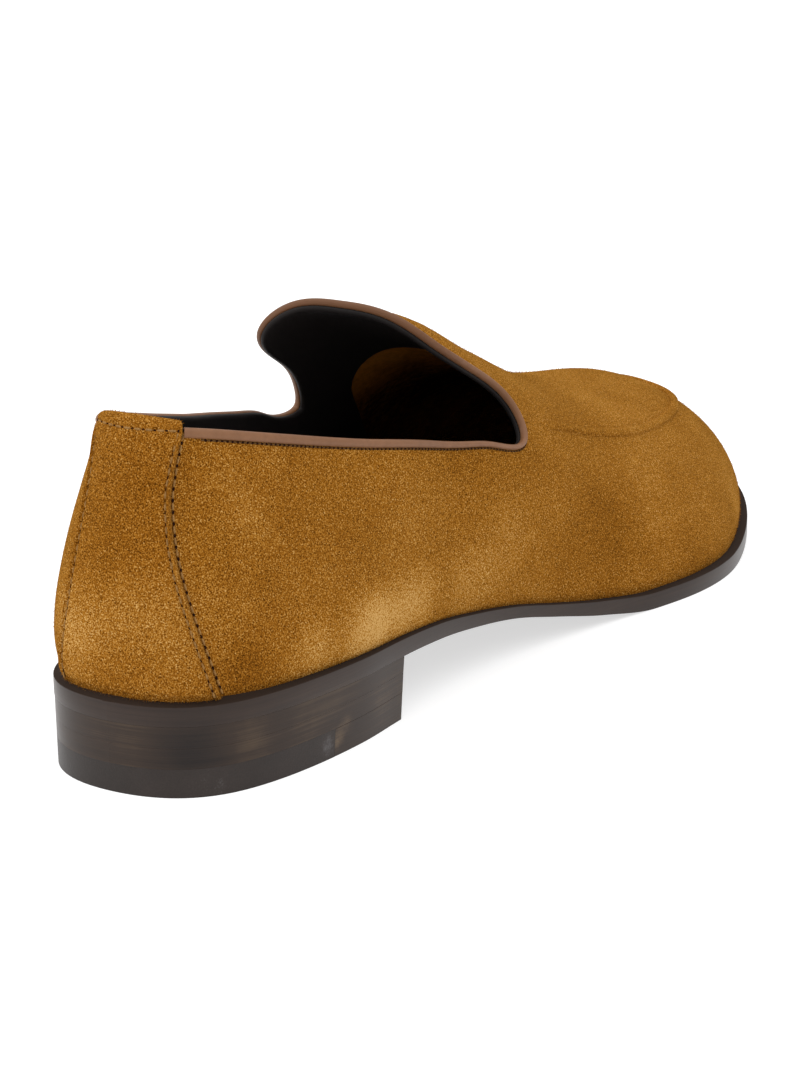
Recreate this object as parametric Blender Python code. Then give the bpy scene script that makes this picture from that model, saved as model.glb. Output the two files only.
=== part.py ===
"""Suede loafer for the right foot, put together from the pieces a shoemaker uses.

The toe points along +Y, the outer (little toe) side lies on +X and the shoe stands on z = 0.
All sizes are in millimetres; add_solid() turns a finished mesh into metres and moves the
middle of the shoe's plan over the origin.
"""
from collections import namedtuple

import bmesh
import bpy
import numpy as np

MM = 0.001
MERGE_DISTANCE = 0.000001

# Sizes of the sole, the upper and the insole
SOLE_EDGE_BEVEL = 0.6
WALL = 1.8
LASTING_MARGIN = 9.0
GAP = 0.3
INSOLE_THICKNESS = 2.4
INSOLE_CLEARANCE = 1.5

# Sizes of the heel
TOP_PIECE_HEIGHT = 6.6
LOWER_LIFT_TOP = 11.4
LAYER_GAP = 0.2
BREAST_AT_SOLE = 72.4
BREAST_AT_FLOOR = 70.8
JOINT_AT_LIFT = 43.0
JOINT_AT_FLOOR = 42.4
HEEL_INSET_AT_SOLE = 0.1
HEEL_INSET_AT_FLOOR = 0.2

# Sizes of the trims sewn to the upper
BINDING_THICKNESS = 0.8
BINDING_LEG = 1.4
BINDING_CORNER_STEPS = 3
BINDING_START_ROW = 0.06
COUNTER_GAP = 0.45
COUNTER_THICKNESS = 1.2
COUNTER_FOLD_SHARE = 0.14
COUNTER_BOTTOM_SHARE = 0.012
SEAM_HALF_WIDTH = 1.3
SEAM_CROWN_HALF_WIDTH = 0.8
SEAM_HEIGHT = 1.2

# How finely the curved pieces are divided
HALF_LINES = 40
WALL_ROWS = 14
WALL_ROW_POWER = 1.25
PATH_SAMPLES = 160
HALVINGS = 40
NEARING_STEPS = 8
EDGE_STEPS = 44
HEEL_STEPS = 16
COUNTER_COLUMNS = 23
COUNTER_ROWS = 9
COUNTER_CAP_ROWS = 5
COUNTER_FOLD_ROWS = 3
SEAM_STEPS = 72

# Sections of the last, from the back of the heel to the tip of the toe. Each ray starts on the
# spine at (shift, along) and is turned from straight back, so the heel and toe sections open like
# fans. The outer and inner columns are the distances to the sole's edge, and ledge is how far in
# from it the upper stands. The plan and side powers round each section. The wall bellies out above
# the sole by swell, most at swell_share of its height.
Section = namedtuple(
    "Section", "turn along shift outer inner ledge plan_power side_power swell swell_share"
)
SECTIONS = (
    Section(0, 30, 0.0, 29.2, 29.2, 2.6, 2.0, 1.00, 1.6, 0.16),
    Section(45, 36, 0.0, 33.4, 33.4, 2.6, 2.0, 0.95, 3.8, 0.17),
    Section(90, 46, 0.0, 32.2, 32.0, 2.2, 2.0, 1.06, 3.8, 0.18),
    Section(90, 66, 0.0, 32.6, 31.6, 1.8, 2.2, 1.46, 3.0, 0.20),
    Section(90, 90, -0.5, 33.0, 29.8, 1.6, 2.7, 2.60, 2.6, 0.25),
    Section(90, 114, -1.5, 35.4, 28.4, 1.6, 2.8, 3.00, 4.0, 0.32),
    Section(90, 140, -3.0, 41.2, 30.8, 1.8, 2.5, 2.60, 3.6, 0.32),
    Section(90, 166, -5.0, 49.5, 37.5, 2.2, 2.3, 2.20, 2.2, 0.28),
    Section(90, 192, -7.0, 58.3, 43.2, 2.5, 2.2, 1.95, 1.4, 0.22),
    Section(90, 218, -8.0, 60.0, 43.4, 2.6, 2.25, 1.85, 1.0, 0.20),
    Section(90, 244, -8.5, 53.8, 38.6, 2.6, 2.3, 1.85, 0.8, 0.20),
    Section(120, 244, -8.5, 48.6, 38.4, 2.6, 2.3, 1.90, 0.6, 0.20),
    Section(150, 244, -8.5, 49.2, 45.6, 2.6, 2.3, 1.90, 0.5, 0.20),
    Section(180, 244, -8.5, 52.5, 52.5, 2.6, 2.3, 1.90, 0.5, 0.20),
)
HEEL_FAN = 2
MIDDLE = 8
TOE_FAN = 3
LAST_SECTION = HEEL_FAN + MIDDLE + TOE_FAN

# Side view of the sole: the heel seat, the arch, a flat tread and the toe spring
SoleRow = namedtuple("SoleRow", "along underside thickness")
SOLE = (
    SoleRow(0, 16.4, 4.6),
    SoleRow(36, 16.0, 4.6),
    SoleRow(72, 15.3, 4.3),
    SoleRow(90, 14.5, 4.0),
    SoleRow(107, 12.8, 3.5),
    SoleRow(122, 10.8, 3.2),
    SoleRow(140, 6.8, 3.4),
    SoleRow(158, 2.8, 4.0),
    SoleRow(178, 0.0, 4.6),
    SoleRow(216, 0.0, 4.6),
    SoleRow(244, 1.6, 4.6),
    SoleRow(270, 4.6, 4.6),
    SoleRow(298, 9.4, 4.6),
)

# Side view of the last's crest; above the open collar it only sets the lean of the walls
Crest = namedtuple("Crest", "along height")
CREST = (
    Crest(0, 122),
    Crest(40, 118),
    Crest(80, 103),
    Crest(95, 92.9),
    Crest(108, 88.8),
    Crest(124, 82),
    Crest(140, 75.5),
    Crest(176, 61),
    Crest(212, 52),
    Crest(244, 47),
    Crest(270, 43),
    Crest(298, 38),
)

# Edge of the collar and tongue: the section it crosses and its height, on the outer and inner side.
# The last row is the tip of the tongue; a height above the crest puts it on the crest.
Topline = namedtuple("Topline", "outer_section outer inner_section inner")
TOPLINE = (
    Topline(0.0, 79.2, 0.0, 79.2),
    Topline(1.0, 77.9, 1.0, 78.1),
    Topline(2.0, 72.0, 2.0, 72.2),
    Topline(3.0, 67.3, 3.0, 67.55),
    Topline(4.0, 62.2, 4.0, 62.9),
    Topline(4.5, 59.5, 4.5, 60.5),
    Topline(5.0, 57.0, 4.95, 57.2),
    Topline(5.68, 55.4, 5.29, 58.6),
    Topline(5.72, 63.0, 5.19, 64.5),
    Topline(5.28, 73.7, 4.61, 75.2),
    Topline(4.73, 83.0, 4.12, 83.2),
    Topline(4.38, 99.0, 4.38, 99.0),
)
TONGUE_TIP = len(TOPLINE) - 1

# Which row of the topline each line of the wall runs to, for the section it starts from
WallLine = namedtuple("WallLine", "section topline")
WALL_LINES = (
    WallLine(0, 0),
    WallLine(4, 4),
    WallLine(5, 6),
    WallLine(7, 7.6),
    WallLine(10, 9.4),
    WallLine(13, 11),
)

# Half-widths of the heel counter in sections, by share of the wall's height
CounterEdge = namedtuple("CounterEdge", "share outer inner")
COUNTER_EDGES = (
    CounterEdge(0.0, 1.00, 0.66),
    CounterEdge(0.2, 0.87, 0.60),
    CounterEdge(0.37, 0.75, 0.58),
    CounterEdge(0.5, 0.665, 0.58),
    CounterEdge(0.62, 0.61, 0.58),
    CounterEdge(0.75, 0.59, 0.58),
    CounterEdge(0.86, 0.635, 0.60),
    CounterEdge(1.0, 0.74, 0.70),
)

# Seam round the apron: the section it crosses and its share of the way out from the spine
SeamRow = namedtuple("SeamRow", "section outer inner")
SEAM = (
    SeamRow(6.15, 0.80, 0.83),
    SeamRow(6.5, 0.76, 0.79),
    SeamRow(7.5, 0.70, 0.74),
    SeamRow(8.5, 0.66, 0.70),
    SeamRow(9.5, 0.62, 0.66),
    SeamRow(10.5, 0.58, 0.62),
    SeamRow(12.0, 0.50, 0.52),
    SeamRow(13.0, 0.46, 0.46),
)

FLAT_RADIUS = 1.6
SIDES = {"outer": 1, "inner": -1}

SUEDE = (0.40, 0.20, 0.06, 1.0)
SEAM_SUEDE = (0.30, 0.14, 0.04, 1.0)
BINDING_LEATHER = (0.16, 0.08, 0.07, 1.0)
LINING_LEATHER = (0.03, 0.025, 0.025, 1.0)
SOLE_LEATHER = (0.05, 0.025, 0.015, 1.0)
LIFT_LEATHER = (0.07, 0.035, 0.02, 1.0)
RUBBER = (0.05, 0.05, 0.055, 1.0)
ROUGHNESS = 0.7


def hermite(start, start_slope, end, end_slope, part):
    """Cubic between two values with given slopes, for part running from 0 to 1."""
    change = end - start
    bend_start = start_slope - change
    bend_end = end_slope - change
    return start + part * (change + (1 - part) * (bend_start * (1 - part) - bend_end * part))


def steady_curve(stations, values):
    """A smooth curve through the values that never overshoots, so flat stretches stay flat."""
    x = np.asarray(stations, float)
    y = np.asarray(values, float)
    steps = np.diff(x)
    rises = np.diff(y) / steps
    before = rises[:-1]
    after = rises[1:]
    same_way = before * after > 0
    slopes = np.concatenate([rises[:1], np.zeros(len(y) - 2), rises[-1:]])
    slopes[1:-1][same_way] = 2 / (1 / before[same_way] + 1 / after[same_way])

    def at(place):
        place = np.clip(place, x[0], x[-1])
        low = np.clip(np.searchsorted(x, place, side="right") - 1, 0, len(x) - 2)
        step = steps[low]
        part = (place - x[low]) / step
        return hermite(y[low], slopes[low] * step, y[low + 1], slopes[low + 1] * step, part)

    return at


def closed_curve(points, spans):
    """A smooth closed curve through the points, one unit of its position for each point.

    Spans are the lengths of curve to allow from each point to the next.
    """
    count = len(points)
    before = np.roll(spans, 1)
    system = np.diag(2 * (before + spans))
    system += np.roll(np.diag(spans), -1, axis=1) + np.roll(np.diag(before), 1, axis=1)
    rises = (np.roll(points, -1, axis=0) - points) / spans[:, None]
    pulls = spans[:, None] * np.roll(rises, 1, axis=0) + before[:, None] * rises
    slopes = np.linalg.solve(system, 3 * pulls)

    def at(position):
        whole = np.floor(position)
        low = whole.astype(int) % count
        high = (low + 1) % count
        span = spans[low][..., None]
        part = (position - whole)[..., None]
        return hermite(points[low], slopes[low] * span, points[high], slopes[high] * span, part)

    return at


def unit(vectors):
    """Vectors scaled to length one."""
    return vectors / np.linalg.norm(vectors, axis=-1, keepdims=True)


def section_column(name):
    """A smooth curve through one column of the section table."""
    return steady_curve(range(len(SECTIONS)), [getattr(row, name) for row in SECTIONS])


spine_along = section_column("along")
spine_shift = section_column("shift")
ledge = section_column("ledge")
plan_power = section_column("plan_power")
side_power = section_column("side_power")
swell = section_column("swell")
swell_share = section_column("swell_share")
underside = steady_curve([row.along for row in SOLE], [row.underside for row in SOLE])
sole_thickness = steady_curve([row.along for row in SOLE], [row.thickness for row in SOLE])
crest = steady_curve([row.along for row in CREST], [row.height for row in CREST])


def sole_corner(row, side):
    """The point of the sole's edge that a section's ray meets on one side."""
    turn = np.radians(row.turn)
    reach = getattr(row, side)
    return (row.shift + SIDES[side] * reach * np.sin(turn), row.along - reach * np.cos(turn))


SOLE_CORNERS = np.array(
    [sole_corner(row, "outer") for row in SECTIONS]
    + [sole_corner(row, "inner") for row in SECTIONS[-2:0:-1]]
)
sole_edge = closed_curve(SOLE_CORNERS, np.ones(len(SOLE_CORNERS)))


def edge_point(section, sign, inset):
    """Plan point of the sole's edge at a section, moved in by the inset."""
    inset = np.asarray(inset, float)[..., None]
    position = np.where(np.asarray(sign) > 0, section, 2 * LAST_SECTION - section)
    nudge = 0.01
    run = unit(sole_edge(position + nudge) - sole_edge(position - nudge))
    inward = np.stack([-run[..., 1], run[..., 0]], axis=-1)
    return sole_edge(position) + inward * inset


def sole_top(along):
    """Height of the sole's upper face."""
    return underside(along) + sole_thickness(along)


def upper_base(along):
    """Height of the upper's lower edge, a gap above the sole."""
    return sole_top(along) + GAP


def flat_point(section, sign, share):
    """Place on the flat pattern for a section and a share of the way out from the spine."""
    reach = FLAT_RADIUS * share
    heel_turn = np.radians(90) * np.clip(section / HEEL_FAN, 0, 1)
    toe_turn = np.radians(90) * np.clip((section - HEEL_FAN - MIDDLE) / TOE_FAN, 0, 1)
    across = reach * np.sin(heel_turn) * np.cos(toe_turn)
    along = np.clip(section - HEEL_FAN, 0, MIDDLE) + reach * (np.sin(toe_turn) - np.cos(heel_turn))
    return np.stack([sign * across, along], axis=-1)


def unflatten(flat):
    """Section, side and share for places on the flat pattern."""
    across = np.abs(flat[..., 0])
    past_toe = np.maximum(flat[..., 1] - MIDDLE, 0)
    past_heel = np.maximum(-flat[..., 1], 0)
    sign = np.where(flat[..., 0] >= 0, 1, -1)
    heel_part = HEEL_FAN * np.arctan2(across, past_heel) / np.radians(90)
    middle_part = HEEL_FAN + np.clip(flat[..., 1], 0, MIDDLE)
    toe_part = LAST_SECTION - TOE_FAN * np.arctan2(across, past_toe) / np.radians(90)
    section = np.where(past_heel > 0, heel_part, np.where(past_toe > 0, toe_part, middle_part))
    share = np.sqrt(across**2 + past_toe**2 + past_heel**2) / FLAT_RADIUS
    return section, sign, np.clip(share, 0, 1)


def last_point(flat):
    """Point of the last's surface for places on the flat pattern."""
    section, sign, share = unflatten(flat)
    origin = np.stack([spine_shift(section), spine_along(section)], axis=-1)
    ray = edge_point(section, sign, ledge(section)) - origin
    rise = (1 - share ** plan_power(section)) ** (1 / side_power(section))
    climb = rise / swell_share(section)
    belly = swell(section) * share * climb * np.exp(1 - climb)
    plan = origin + ray * share[..., None] + unit(ray) * belly[..., None]
    base = upper_base(plan[..., 1])
    height = base + (crest(plan[..., 1]) - base) * rise
    return np.concatenate([plan, height[..., None]], axis=-1)


def last_slopes(flat):
    """Slopes of the last's surface across and along the flat pattern."""
    nudge = 0.004
    across = np.array([nudge, 0.0])
    along = np.array([0.0, nudge])
    return (
        (last_point(flat + across) - last_point(flat - across)) / (2 * nudge),
        (last_point(flat + along) - last_point(flat - along)) / (2 * nudge),
    )


def last_normal(flat):
    """Outward normal of the last's surface for places on the flat pattern."""
    return unit(np.cross(*last_slopes(flat)))


def share_at_height(section, sign, height):
    """Share of the way out from the spine where a section reaches a height, found by halving."""
    low = np.zeros(np.shape(section))
    high = np.ones(np.shape(section))
    for _ in range(HALVINGS):
        middle = (low + high) / 2
        too_high = last_point(flat_point(section, sign, middle))[..., 2] > height
        low = np.where(too_high, middle, low)
        high = np.where(too_high, high, middle)
    return (low + high) / 2


def topline_places(side):
    """Flat places of the topline's rows on one side."""
    sections = np.array([getattr(row, side + "_section") for row in TOPLINE])
    heights = np.array([getattr(row, side) for row in TOPLINE])
    sign = SIDES[side]
    return flat_point(sections, sign, share_at_height(sections, sign, heights))


TOPLINE_PLACES = np.concatenate([topline_places("outer"), topline_places("inner")[-2:0:-1]])
TOPLINE_POINTS = last_point(TOPLINE_PLACES)
TOPLINE_SPANS = np.linalg.norm(np.roll(TOPLINE_POINTS, -1, axis=0) - TOPLINE_POINTS, axis=1)
topline_curve = closed_curve(TOPLINE_POINTS, TOPLINE_SPANS)
collar_row = steady_curve([row.section for row in WALL_LINES], [row.topline for row in WALL_LINES])


def nearest_flat(points, flat):
    """Flat places whose points on the last lie nearest to the given points, from a first guess."""
    for _ in range(NEARING_STEPS):
        across, along = last_slopes(flat)
        miss = points - last_point(flat)
        across_miss = np.sum(across * miss, axis=-1)
        along_miss = np.sum(along * miss, axis=-1)
        across_square = np.sum(across**2, axis=-1)
        along_square = np.sum(along**2, axis=-1)
        shared = np.sum(across * along, axis=-1)
        move = np.stack([
            along_square * across_miss - shared * along_miss,
            across_square * along_miss - shared * across_miss,
        ], axis=-1)
        flat = flat + move / (across_square * along_square - shared**2)[..., None]
    return flat


def collar_edge(position):
    """Flat place on the collar's edge: out along the outer side to the tongue, back along the inner."""
    whole = np.floor(position)
    low = whole.astype(int) % len(TOPLINE_PLACES)
    high = (low + 1) % len(TOPLINE_PLACES)
    part = (position - whole)[..., None]
    guess = (1 - part) * TOPLINE_PLACES[low] + part * TOPLINE_PLACES[high]
    return nearest_flat(topline_curve(position), guess)


def collar_position(section, sign):
    """Position on the collar's edge where the wall line from a section ends."""
    row = collar_row(section)
    return np.where(np.asarray(sign) > 0, row, 2 * TONGUE_TIP - row)


def wall_flat(section, sign, shares):
    """Flat places at shares of the wall's height along the line from one section."""
    start = flat_point(section, sign, 1.0)
    run = collar_edge(collar_position(section, sign)) - start
    steps = np.linspace(0, 1, PATH_SAMPLES) ** 2
    lengths = np.linalg.norm(np.diff(last_point(start + run * steps[:, None]), axis=0), axis=1)
    travelled = np.concatenate([[0], np.cumsum(lengths)])
    return start + run * np.interp(shares, travelled / travelled[-1], steps)[:, None]


def even_sections(count):
    """Section numbers at even steps along the upper's lower edge, from heel to toe."""
    fine = np.linspace(0, LAST_SECTION, PATH_SAMPLES)
    points = edge_point(fine, np.ones(PATH_SAMPLES), ledge(fine))
    travelled = np.concatenate([[0], np.cumsum(np.linalg.norm(np.diff(points, axis=0), axis=1))])
    return np.interp(np.linspace(0, travelled[-1], count + 1), travelled, fine)


def collar_frame(positions):
    """Points, outward normals and edgeward directions along the collar's edge."""
    nudge = 0.01
    flat = collar_edge(positions)
    along = last_point(collar_edge(positions + nudge)) - last_point(collar_edge(positions - nudge))
    normals = last_normal(flat)
    return last_point(flat), normals, unit(np.cross(normals, along))


def grid_faces(rows, columns, closed):
    """Quads of a grid of points stored row by row; closed joins the last column to the first."""
    faces = []
    for row in range(rows - 1):
        for column in range(columns if closed else columns - 1):
            next_column = (column + 1) % columns
            low = row * columns
            high = low + columns
            faces.append((low + column, low + next_column, high + next_column, high + column))
    return faces


def loft(rings):
    """Closed mesh through rings of points, with the first and last ring capped."""
    count, size = rings.shape[:2]
    faces = grid_faces(count, size, True)
    faces.append(tuple(range(size - 1, -1, -1)))
    faces.append(tuple(range((count - 1) * size, count * size)))
    return rings.reshape(-1, 3), faces


def sheet(inside, outside):
    """Closed mesh between two grids of points, the inside and outside face of a thin piece."""
    rows, columns = inside.shape[:2]
    faces = grid_faces(rows, columns, False)
    outer_start = rows * columns
    outer = [tuple(outer_start + corner for corner in face) for face in faces]
    rim = [row * columns for row in range(rows)]
    rim += [(rows - 1) * columns + column for column in range(1, columns)]
    rim += [row * columns + columns - 1 for row in range(rows - 2, -1, -1)]
    rim += list(range(columns - 2, 0, -1))
    edges = []
    for here, there in zip(rim, rim[1:] + rim[:1]):
        edges.append((outer_start + here, outer_start + there, there, here))
    points = np.concatenate([inside.reshape(-1, 3), outside.reshape(-1, 3)])
    return points, [face[::-1] for face in faces] + outer + edges


def slab(rings):
    """Closed mesh through plan rings, capped by strips from the outer to the inner side.

    Each ring is a pair of point lists, the outer side and the inner side, both from back to front.
    """
    loops = [np.concatenate([outer, inner[::-1]]) for outer, inner in rings]
    size = len(loops[0])
    faces = grid_faces(len(loops), size, True)
    top = (len(loops) - 1) * size
    for step in range(size // 2 - 1):
        strip = (step, step + 1, size - 2 - step, size - 1 - step)
        faces.append(tuple(top + corner for corner in strip))
        faces.append(strip[::-1])
    return np.concatenate(loops), faces


def raised(plan, height):
    """Plan points lifted to a height worked out from their distance from the heel."""
    return np.concatenate([plan, height(plan[:, 1])[:, None]], axis=1)


def level(size):
    """A size that stays the same along the shoe."""
    return lambda along: 0 * along + size


def above(sizes, extra):
    """A size that keeps a fixed amount above one that changes along the shoe."""
    return lambda along: sizes(along) + extra


def sole_ring(inset, height):
    """Ring round the whole sole for slab(), moved in by an inset that may change along it."""
    sections = even_sections(EDGE_STEPS)
    insets = inset(sections)
    signs = np.ones(len(sections))
    return [raised(edge_point(sections, side * signs, insets), height) for side in SIDES.values()]


def heel_size(at_floor, at_sole, height):
    """A size of the heel that changes evenly from the floor to the sole."""
    return at_floor + (at_sole - at_floor) * height / underside(0.0)


def heel_back(height):
    """Where whole heel layers start."""
    return 0 * height


def breast(height):
    """Distance of the heel's front face from its back."""
    return heel_size(BREAST_AT_FLOOR, BREAST_AT_SOLE, height)


def rubber_front(height):
    """Distance of the rubber's front face from the heel's back."""
    return JOINT_AT_FLOOR + (JOINT_AT_LIFT - JOINT_AT_FLOOR) * height / TOP_PIECE_HEIGHT


def leather_back(height):
    """Distance of the leather top piece's rear face from the heel's back."""
    return rubber_front(height) + LAYER_GAP


def heel_ring(start, end, height):
    """Ring round a heel layer for slab(), from its start to its end line."""
    nominal = height(0.0)
    inset = heel_size(HEEL_INSET_AT_FLOOR, HEEL_INSET_AT_SOLE, nominal)
    fine = np.linspace(0, HEEL_FAN + MIDDLE, PATH_SAMPLES)
    sides = []
    for sign in SIDES.values():
        reached = edge_point(fine, np.full(PATH_SAMPLES, sign), inset)[:, 1]
        first, last = np.interp([start(nominal), end(nominal)], reached, fine)
        sections = np.linspace(first, last, HEEL_STEPS + 1)
        sides.append(raised(edge_point(sections, np.full(len(sections), sign), inset), height))
    return sides


def heel_layer(start, end, bottom, top):
    """Closed mesh of one heel layer between two heights."""
    return slab([heel_ring(start, end, bottom), heel_ring(start, end, top)])


def outsole_mesh():
    """Sole with softened edges above and below."""
    return slab([
        sole_ring(level(SOLE_EDGE_BEVEL), underside),
        sole_ring(level(0.0), above(underside, SOLE_EDGE_BEVEL)),
        sole_ring(level(0.0), above(sole_top, -SOLE_EDGE_BEVEL)),
        sole_ring(level(SOLE_EDGE_BEVEL), sole_top),
    ])


def insole_mesh():
    """Board that rests on the upper's turned-in margin and fills its floor."""
    inset = above(ledge, WALL + INSOLE_CLEARANCE)
    rest = WALL + 2 * GAP
    return slab([
        sole_ring(inset, above(upper_base, rest)),
        sole_ring(inset, above(upper_base, rest + INSOLE_THICKNESS)),
    ])


def margin_point(section, sign, inset, height):
    """Point of the margin turned in under the foot, at an inset from the wall's outer face."""
    return raised(edge_point(section, sign, ledge(section) + inset)[None], above(upper_base, height))


def upper_mesh():
    """Wall of the upper: out from the margin, up the outer face to the collar and down the inner."""
    sections = even_sections(HALF_LINES)
    lines = [(section, 1) for section in sections]
    lines += [(section, -1) for section in sections[-2:0:-1]]
    shares = np.linspace(0, 1, WALL_ROWS) ** WALL_ROW_POWER
    columns = []
    for section, sign in lines:
        flat = wall_flat(section, sign, shares)
        outside = last_point(flat)
        inside = outside - WALL * last_normal(flat)
        start = margin_point(section, sign, LASTING_MARGIN, 0.0)
        corner = margin_point(section, sign, WALL, WALL)
        end = margin_point(section, sign, LASTING_MARGIN, WALL)
        columns.append(np.concatenate([start, outside, inside[:0:-1], corner, end, start]))
    rows = np.swapaxes(columns, 0, 1)
    return rows.reshape(-1, 3), grid_faces(len(rows), len(lines), True)


def binding_profile():
    """Cross-section of the binding: distances out from the wall's outer face and past its edge."""
    reach = GAP + BINDING_THICKNESS
    turns = np.radians(np.linspace(0, 90, BINDING_CORNER_STEPS + 1))
    outer_corner = [(reach * np.cos(turn), reach * np.sin(turn)) for turn in turns]
    inner_corner = [(-WALL - out, past) for out, past in outer_corner[::-1]]
    slot = [(-WALL - GAP, -BINDING_LEG), (-WALL - GAP, GAP), (GAP, GAP), (GAP, -BINDING_LEG)]
    legs = [(reach, -BINDING_LEG)] + outer_corner + inner_corner + [(-WALL - reach, -BINDING_LEG)]
    return np.array(legs + slot)[::-1]


def counter_column(side):
    """A smooth curve through one side's column of the counter's edges."""
    return steady_curve([row.share for row in COUNTER_EDGES], [getattr(row, side) for row in COUNTER_EDGES])


outer_counter_edge = counter_column("outer")
inner_counter_edge = counter_column("inner")


def counter_edge(share, sign):
    """Half-width of the counter in sections on one side, at a share of the wall's height."""
    return np.where(np.asarray(sign) > 0, outer_counter_edge(share), inner_counter_edge(share))


def binding_rows(side):
    """Rows of the topline where the binding is cut on one side, from the counter to the tongue's tip."""
    start = counter_edge(1.0, SIDES[side]) + BINDING_START_ROW
    rows = collar_row(even_sections(HALF_LINES))
    return np.append(start, rows[rows > start + BINDING_START_ROW])


def binding_mesh():
    """Strip folded over the collar's edge from one side of the counter round to the other."""
    positions = np.append(binding_rows("outer"), 2 * TONGUE_TIP - binding_rows("inner")[-2::-1])
    points, normals, past = collar_frame(positions)
    profile = binding_profile()
    return loft(
        points[:, None]
        + normals[:, None] * profile[:, :1]
        + past[:, None] * profile[:, 1:]
    )


def counter_strip(place, offset):
    """Points of the counter from the sole, up the wall and over its edge, at an offset from it."""
    sign = 1 if place >= 0 else -1
    climb = np.linspace(COUNTER_BOTTOM_SHARE, 1, COUNTER_ROWS)
    lines = abs(place) * counter_edge(climb, sign)
    outside = np.concatenate([wall_flat(line, sign, [share]) for line, share in zip(lines, climb)])
    top_section = lines[-1]
    point, normal, past = collar_frame(collar_position(top_section, sign))
    turns = np.radians(np.linspace(0, 180, COUNTER_CAP_ROWS + 2)[1:-1])[:, None]
    cap = point - normal * WALL / 2
    cap = cap + (WALL / 2 + offset) * (normal * np.cos(turns) + past * np.sin(turns))
    inside = wall_flat(top_section, sign, np.linspace(1, 1 - COUNTER_FOLD_SHARE, COUNTER_FOLD_ROWS))
    return np.concatenate([
        last_point(outside) + last_normal(outside) * offset,
        cap,
        last_point(inside) - last_normal(inside) * (WALL + offset),
    ])


def counter_mesh():
    """Back panel over the outside of the heel, folded over the collar's edge."""
    places = np.linspace(1, -1, COUNTER_COLUMNS)
    faces = []
    for offset in (COUNTER_GAP, COUNTER_GAP + COUNTER_THICKNESS):
        faces.append(np.array([counter_strip(place, offset) for place in places]))
    return sheet(*faces)


def seam_mesh():
    """Raised seam round the apron."""
    rows = [flat_point(row.section, 1, row.outer) for row in SEAM]
    rows = np.array(rows + [flat_point(row.section, -1, row.inner) for row in SEAM[-2::-1]])
    numbers = np.arange(len(rows))
    places = np.linspace(0, numbers[-1], SEAM_STEPS)
    flat = np.stack([steady_curve(numbers, column)(places) for column in rows.T], axis=-1)
    points = last_point(flat)
    normals = last_normal(flat)
    across = unit(np.cross(normals, np.gradient(points, axis=0)))
    crown = GAP + SEAM_HEIGHT
    profile = np.array([
        (SEAM_HALF_WIDTH, GAP),
        (SEAM_CROWN_HALF_WIDTH, crown),
        (-SEAM_CROWN_HALF_WIDTH, crown),
        (-SEAM_HALF_WIDTH, GAP),
    ])
    return loft(points[:, None] + across[:, None] * profile[:, :1] + normals[:, None] * profile[:, 1:])


def plan_middle():
    """Middle of the sole's plan, which becomes the origin."""
    points = sole_edge(np.linspace(0, 2 * LAST_SECTION, PATH_SAMPLES * LAST_SECTION))
    return np.append((points.min(axis=0) + points.max(axis=0)) / 2, 0.0)


def add_solid(name, mesh, colour):
    """Make an object from points in millimetres and faces, with a material of its own."""
    points, faces = mesh
    data = bpy.data.meshes.new(name)
    data.from_pydata(((points - plan_middle()) * MM).tolist(), [], faces)
    form = bmesh.new()
    form.from_mesh(data)
    bmesh.ops.remove_doubles(form, verts=form.verts, dist=MERGE_DISTANCE)
    form.to_mesh(data)
    form.free()
    material = bpy.data.materials.new(name)
    material.use_nodes = True
    shader = material.node_tree.nodes["Principled BSDF"]
    shader.inputs["Base Color"].default_value = colour
    shader.inputs["Roughness"].default_value = ROUGHNESS
    data.materials.append(material)
    solid = bpy.data.objects.new(name, data)
    bpy.context.scene.collection.objects.link(solid)


def build():
    """Make every piece of the shoe."""
    for old in list(bpy.data.objects):
        bpy.data.objects.remove(old)
    add_solid("upper", upper_mesh(), SUEDE)
    add_solid("heel_counter", counter_mesh(), SUEDE)
    add_solid("topline_binding", binding_mesh(), BINDING_LEATHER)
    add_solid("apron_seam", seam_mesh(), SEAM_SUEDE)
    add_solid("insole", insole_mesh(), LINING_LEATHER)
    add_solid("outsole", outsole_mesh(), SOLE_LEATHER)
    lift_bottom = TOP_PIECE_HEIGHT + LAYER_GAP
    upper_lift_bottom = LOWER_LIFT_TOP + LAYER_GAP
    add_solid(
        "heel_lift_upper",
        heel_layer(heel_back, breast, level(upper_lift_bottom), above(underside, -LAYER_GAP)),
        LIFT_LEATHER,
    )
    add_solid(
        "heel_lift_lower",
        heel_layer(heel_back, breast, level(lift_bottom), level(LOWER_LIFT_TOP)),
        LIFT_LEATHER,
    )
    add_solid(
        "heel_top_rubber",
        heel_layer(heel_back, rubber_front, level(0.0), level(TOP_PIECE_HEIGHT)),
        RUBBER,
    )
    add_solid(
        "heel_top_leather",
        heel_layer(leather_back, breast, level(0.0), level(TOP_PIECE_HEIGHT)),
        LIFT_LEATHER,
    )


build()
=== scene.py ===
"""Looks of a suede loafer for the right foot, dressed around its solids.

Lengths are in millimetres in the shoemaker's frame of the solids: y runs forward from the back of
the sole, x outward from the middle of the heel and z up from the floor. place() moves them into
the frame of the solids, in metres.
"""
from collections import namedtuple

import bpy
import numpy as np
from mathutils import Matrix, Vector
from mathutils import noise


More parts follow.
